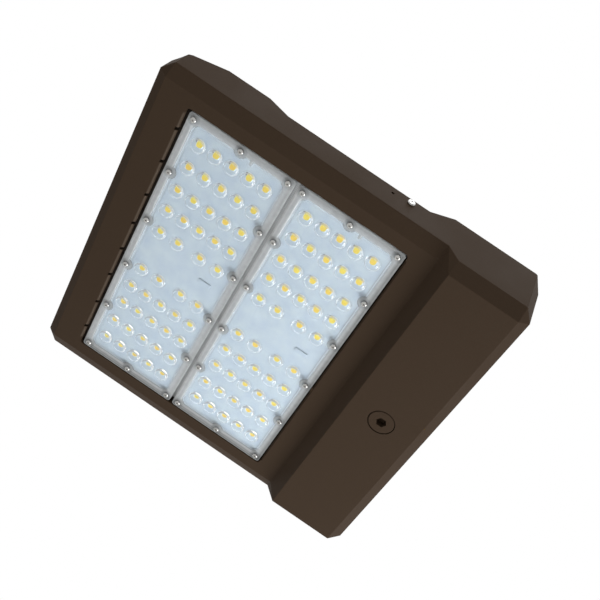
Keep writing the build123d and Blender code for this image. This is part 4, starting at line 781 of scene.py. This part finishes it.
class AREALIGHT_OT_castings(bpy.types.Operator):
    """Finishes the housing, the driver lid and the sensor port plug in powder coat"""
    bl_idname = "arealight.castings"
    bl_label = "Castings"

    def execute(self, context):
        paint(["housing", "driver_lid", "port_plug"], powder_coat(context.scene.arealight_coat))
        return {"FINISHED"}


class AREALIGHT_OT_heat_sink(bpy.types.Operator):
    """Finishes the heat sink, with its module seats left bare"""
    bl_idname = "arealight.heat_sink"
    bl_label = "Heat sink"

    def execute(self, context):
        paint(["heat_sink"], sink_finish(context.scene.arealight_coat))
        return {"FINISHED"}


class AREALIGHT_OT_optics(bpy.types.Operator):
    """Builds the two clear optic plates with their domes"""
    bl_idname = "arealight.optics"
    bl_label = "Optic plates"

    def execute(self, context):
        for name in CENTRES:
            optic_plate(name, context.scene.arealight_optic)
        return {"FINISHED"}


class AREALIGHT_OT_packages(bpy.types.Operator):
    """Builds the LED packages on both boards"""
    bl_idname = "arealight.packages"
    bl_label = "LED packages"

    def execute(self, context):
        for name in CENTRES:
            package_field(name, context.scene.arealight_package)
        return {"FINISHED"}


class AREALIGHT_OT_boards(bpy.types.Operator):
    """Finishes the LED boards and the terminals on them"""
    bl_idname = "arealight.boards"
    bl_label = "Boards"

    def execute(self, context):
        paint(["led_board_inner", "led_board_outer"], solder_mask())
        pale = moulded("pale_polyamide", "#B9C2CB", "#C3CBD2", 0.45, 1.0)
        paint(["board_terminal_inner", "board_terminal_outer"], pale)
        return {"FINISHED"}


class AREALIGHT_OT_screws(bpy.types.Operator):
    """Finishes the outside screws in stainless and the inside ones in zinc plate"""
    bl_idname = "arealight.screws"
    bl_label = "Screws and pins"

    def execute(self, context):
        outside = ["lens_screws", "side_screws", "lid_screws", "heat_sink_screws", "lid_hinge_pins"]
        paint(outside, stainless())
        inside = ["tray_screws", "driver_screws", "block_screws", "terminal_screws", "earth_screw"]
        paint(inside, zinc_plate())
        paint(["earth_lug"], tinned_copper())
        return {"FINISHED"}


class AREALIGHT_OT_seals(bpy.types.Operator):
    """Finishes the gaskets, the plug's ring, the bushes and the grommets"""
    bl_idname = "arealight.seals"
    bl_label = "Seals"

    def execute(self, context):
        pale = rubber("pale_silicone", "#CCD1D5", "#D8DCE0")
        paint(["lens_gasket_inner", "lens_gasket_outer"], pale)
        paint(["lid_gasket"], rubber("grey_silicone", "#7C7D7B", "#8F908E"))
        round_seals = ["port_plug_seal", "lead_bush_inner", "lead_bush_outer", "entry_grommet",
                       "partition_grommet"]
        paint(round_seals, rubber("black_epdm", "#141414", "#212121"))
        return {"FINISHED"}


class AREALIGHT_OT_driver_bay(bpy.types.Operator):
    """Finishes the gear tray, the LED driver, the terminal block and the small mouldings"""
    bl_idname = "arealight.driver_bay"
    bl_label = "Driver bay"

    def execute(self, context):
        paint(["gear_tray"], galvanised())
        paint(["led_driver_case"], satin_aluminium())
        black = moulded("black_polyamide", "#141416", "#1E1E20", 0.45, 0.8)
        paint(["led_driver_caps", "breather_vent", "breather_nut", "lid_screw_retainers"], black)
        paint(["terminal_block"], moulded("cream_polyamide", "#CFCDBF", "#DDDBCE", 0.42, 1.0))
        return {"FINISHED"}


class AREALIGHT_OT_leads(bpy.types.Operator):
    """Finishes the insulated leads"""
    bl_idname = "arealight.leads"
    bl_label = "Leads"

    def execute(self, context):
        paint(["line_lead"], insulation("brown_pvc", "#4E2C17"))
        paint(["neutral_lead"], insulation("blue_pvc", "#1E4C9A"))
        paint(["driver_earth_lead", "earth_lead"], insulation("earth_pvc", "#2C7A2E", "#D9C62C"))
        paint(["led_lead_inner", "led_lead_outer"], insulation("grey_pvc", "#6B6C6E"))
        return {"FINISHED"}


class AREALIGHT_OT_studio(bpy.types.Operator):
    """Sets the pale floor, the soft lamps and the camera of the photograph"""
    bl_idname = "arealight.studio"
    bl_label = "Studio"

    def execute(self, context):
        studio = context.scene.arealight_studio
        lay_floor(studio)
        light_world(studio)
        hang_lamps(studio)
        place_camera(studio)
        context.scene.view_settings.view_transform = "Standard"
        return {"FINISHED"}


class AREALIGHT_PT_pieces(bpy.types.Panel):
    """Lists the pieces of the area light head"""
    bl_idname = "AREALIGHT_PT_pieces"
    bl_label = "Area light head"
    bl_space_type = "VIEW_3D"
    bl_region_type = "UI"
    bl_category = "Area light"

    def draw(self, context):
        for group in SETTINGS:
            box = self.layout.box()
            held = getattr(context.scene, group)
            for name in held.bl_rna.properties.keys():
                if name not in ("rna_type", "name"):
                    box.prop(held, name)
        for operator in OPERATORS:
            self.layout.operator(operator.bl_idname)


def lay_floor(studio):
    """A floor 12 m across that rises slightly at its rim, on a polar grid."""
    sides = 48
    radii = np.array([0.8, 2.0, 4.0, 6.0])
    rise = 0.02 * (radii / radii[-1]) ** 4
    turns = np.linspace(0, 2 * math.pi, sides, endpoint=False)
    x = radii[:, None] * np.cos(turns)
    y = radii[:, None] * np.sin(turns)
    z = np.broadcast_to(studio.floor + rise[:, None], x.shape)
    points = np.concatenate([np.stack([x, y, z], -1).reshape(-1, 3), [[0, 0, studio.floor]]])
    first = np.arange(sides)
    after = np.roll(first, -1)
    faces = []
    for a in range(0, sides * (len(radii) - 1), sides):
        b = a + sides
        faces += np.stack([first + a, first + b, after + b, after + a], -1).tolist()
    faces += np.stack([first, after, np.full(sides, sides * len(radii))], -1).tolist()
    material, tree, place, shader = finish_of("studio_floor")
    clouds = add(tree, "ShaderNodeTexNoise", {
        "Vector": place, "Scale": per(400.0), "Detail": 3.0, "Roughness": 0.55})
    tones = {0: clouds, 6: list(studio.floor_tone) + [1.0],
             7: [0.99 * tone for tone in studio.floor_tone] + [1.0]}
    feed(tree, shader, {
        "Base Color": add(tree, "ShaderNodeMix", tones, RGBA, 2), "Roughness": 0.9,
        "Specular IOR Level": 0.1})
    new_piece("floor", points, faces, np.ones(len(faces), bool), {}, material)


def light_world(studio):
    """White to the eye, in reflections and through the optics, and an even grey fill on
    everything else."""
    world = bpy.data.worlds.new("studio_world")
    bpy.context.scene.world = world
    world.use_nodes = True
    tree = world.node_tree
    tree.nodes.clear()
    ray = add(tree, "ShaderNodeLightPath").node.outputs
    seen = add(tree, "ShaderNodeMath", {0: ray["Is Camera Ray"], 1: ray["Is Glossy Ray"]}, MAXIMUM)
    seen = add(tree, "ShaderNodeMath", {0: seen, 1: ray["Is Transmission Ray"]}, MAXIMUM)
    strength = add(tree, "ShaderNodeMapRange", {"Value": seen, "To Min": studio.fill, "To Max": 1.0})
    white = add(tree, "ShaderNodeBackground", {"Color": "#FFFFFF", "Strength": strength})
    add(tree, "ShaderNodeOutputWorld", {"Surface": white})


def hang_lamps(studio):
    """Soft lamps: (name, place, width, height, power), each turned to the head's middle."""
    aim = np.array([0.19, 0.0, 0.0])
    lamps = [
        ("key", (-0.85, -0.5, -0.85), 0.7, 0.7, studio.key),
        ("side", (0.25, 1.6, 0.35), 1.0, 0.8, studio.side),
        ("top", (0.1, 0.6, 1.3), 1.2, 1.2, studio.top),
        ("strip", (0.25, -1.5, -0.28), 1.4, 0.3, studio.strip),
    ]
    for name, place, width, height, power in lamps:
        data = bpy.data.lights.new(name, "AREA")
        data.shape = "RECTANGLE"
        data.size = width
        data.size_y = height
        data.energy = power
        lamp = bpy.data.objects.new(name, data)
        lamp.visible_camera = False
        bpy.context.scene.collection.objects.link(lamp)
        away = np.array(place) - aim
        away /= np.linalg.norm(away)
        right = np.cross([0, 0, 1], away)
        right /= np.linalg.norm(right)
        turned = np.column_stack([right, np.cross(away, right), away])
        lamp.matrix_world = Matrix.Translation(place) @ Matrix(turned.tolist()).to_4x4()


def place_camera(studio):
    """The photograph's view: below the head and to its side, looking up at the light face."""
    data = bpy.data.cameras.new("camera")
    data.sensor_width = 36.0
    data.lens = studio.lens
    data.clip_start = 0.01
    data.clip_end = 50.0
    camera = bpy.data.objects.new("camera", data)
    bpy.context.scene.collection.objects.link(camera)
    place = (0.154294, 0.550078, -0.694108)
    turns = [math.radians(angle) for angle in (149.0301, -20.2881, 151.97)]
    camera.matrix_world = Matrix.Translation(place) @ Euler(turns).to_matrix().to_4x4()
    bpy.context.scene.camera = camera


OPERATORS = (
    AREALIGHT_OT_castings, AREALIGHT_OT_heat_sink, AREALIGHT_OT_optics, AREALIGHT_OT_packages,
    AREALIGHT_OT_boards, AREALIGHT_OT_screws, AREALIGHT_OT_seals, AREALIGHT_OT_driver_bay,
    AREALIGHT_OT_leads, AREALIGHT_OT_studio,
)
SETTINGS = {
    "arealight_coat": CoatSettings,
    "arealight_optic": OpticSettings,
    "arealight_package": PackageSettings,
    "arealight_studio": StudioSettings,
}


def register():
    for group, kind in SETTINGS.items():
        bpy.utils.register_class(kind)
        setattr(bpy.types.Scene, group, bpy.props.PointerProperty(type=kind))
    for operator in OPERATORS:
        bpy.utils.register_class(operator)
    bpy.utils.register_class(AREALIGHT_PT_pieces)


def unregister():
    bpy.utils.unregister_class(AREALIGHT_PT_pieces)
    for operator in reversed(OPERATORS):
        bpy.utils.unregister_class(operator)
    for group, kind in SETTINGS.items():
        delattr(bpy.types.Scene, group)
        bpy.utils.unregister_class(kind)


def main():
    """Registers the add-on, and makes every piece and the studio."""
    register()
    bpy.ops.arealight.castings()
    bpy.ops.arealight.heat_sink()
    bpy.ops.arealight.optics()
    bpy.ops.arealight.packages()
    bpy.ops.arealight.boards()
    bpy.ops.arealight.screws()
    bpy.ops.arealight.seals()
    bpy.ops.arealight.driver_bay()
    bpy.ops.arealight.leads()
    bpy.ops.arealight.studio()


if __name__ == "__main__":
    main()
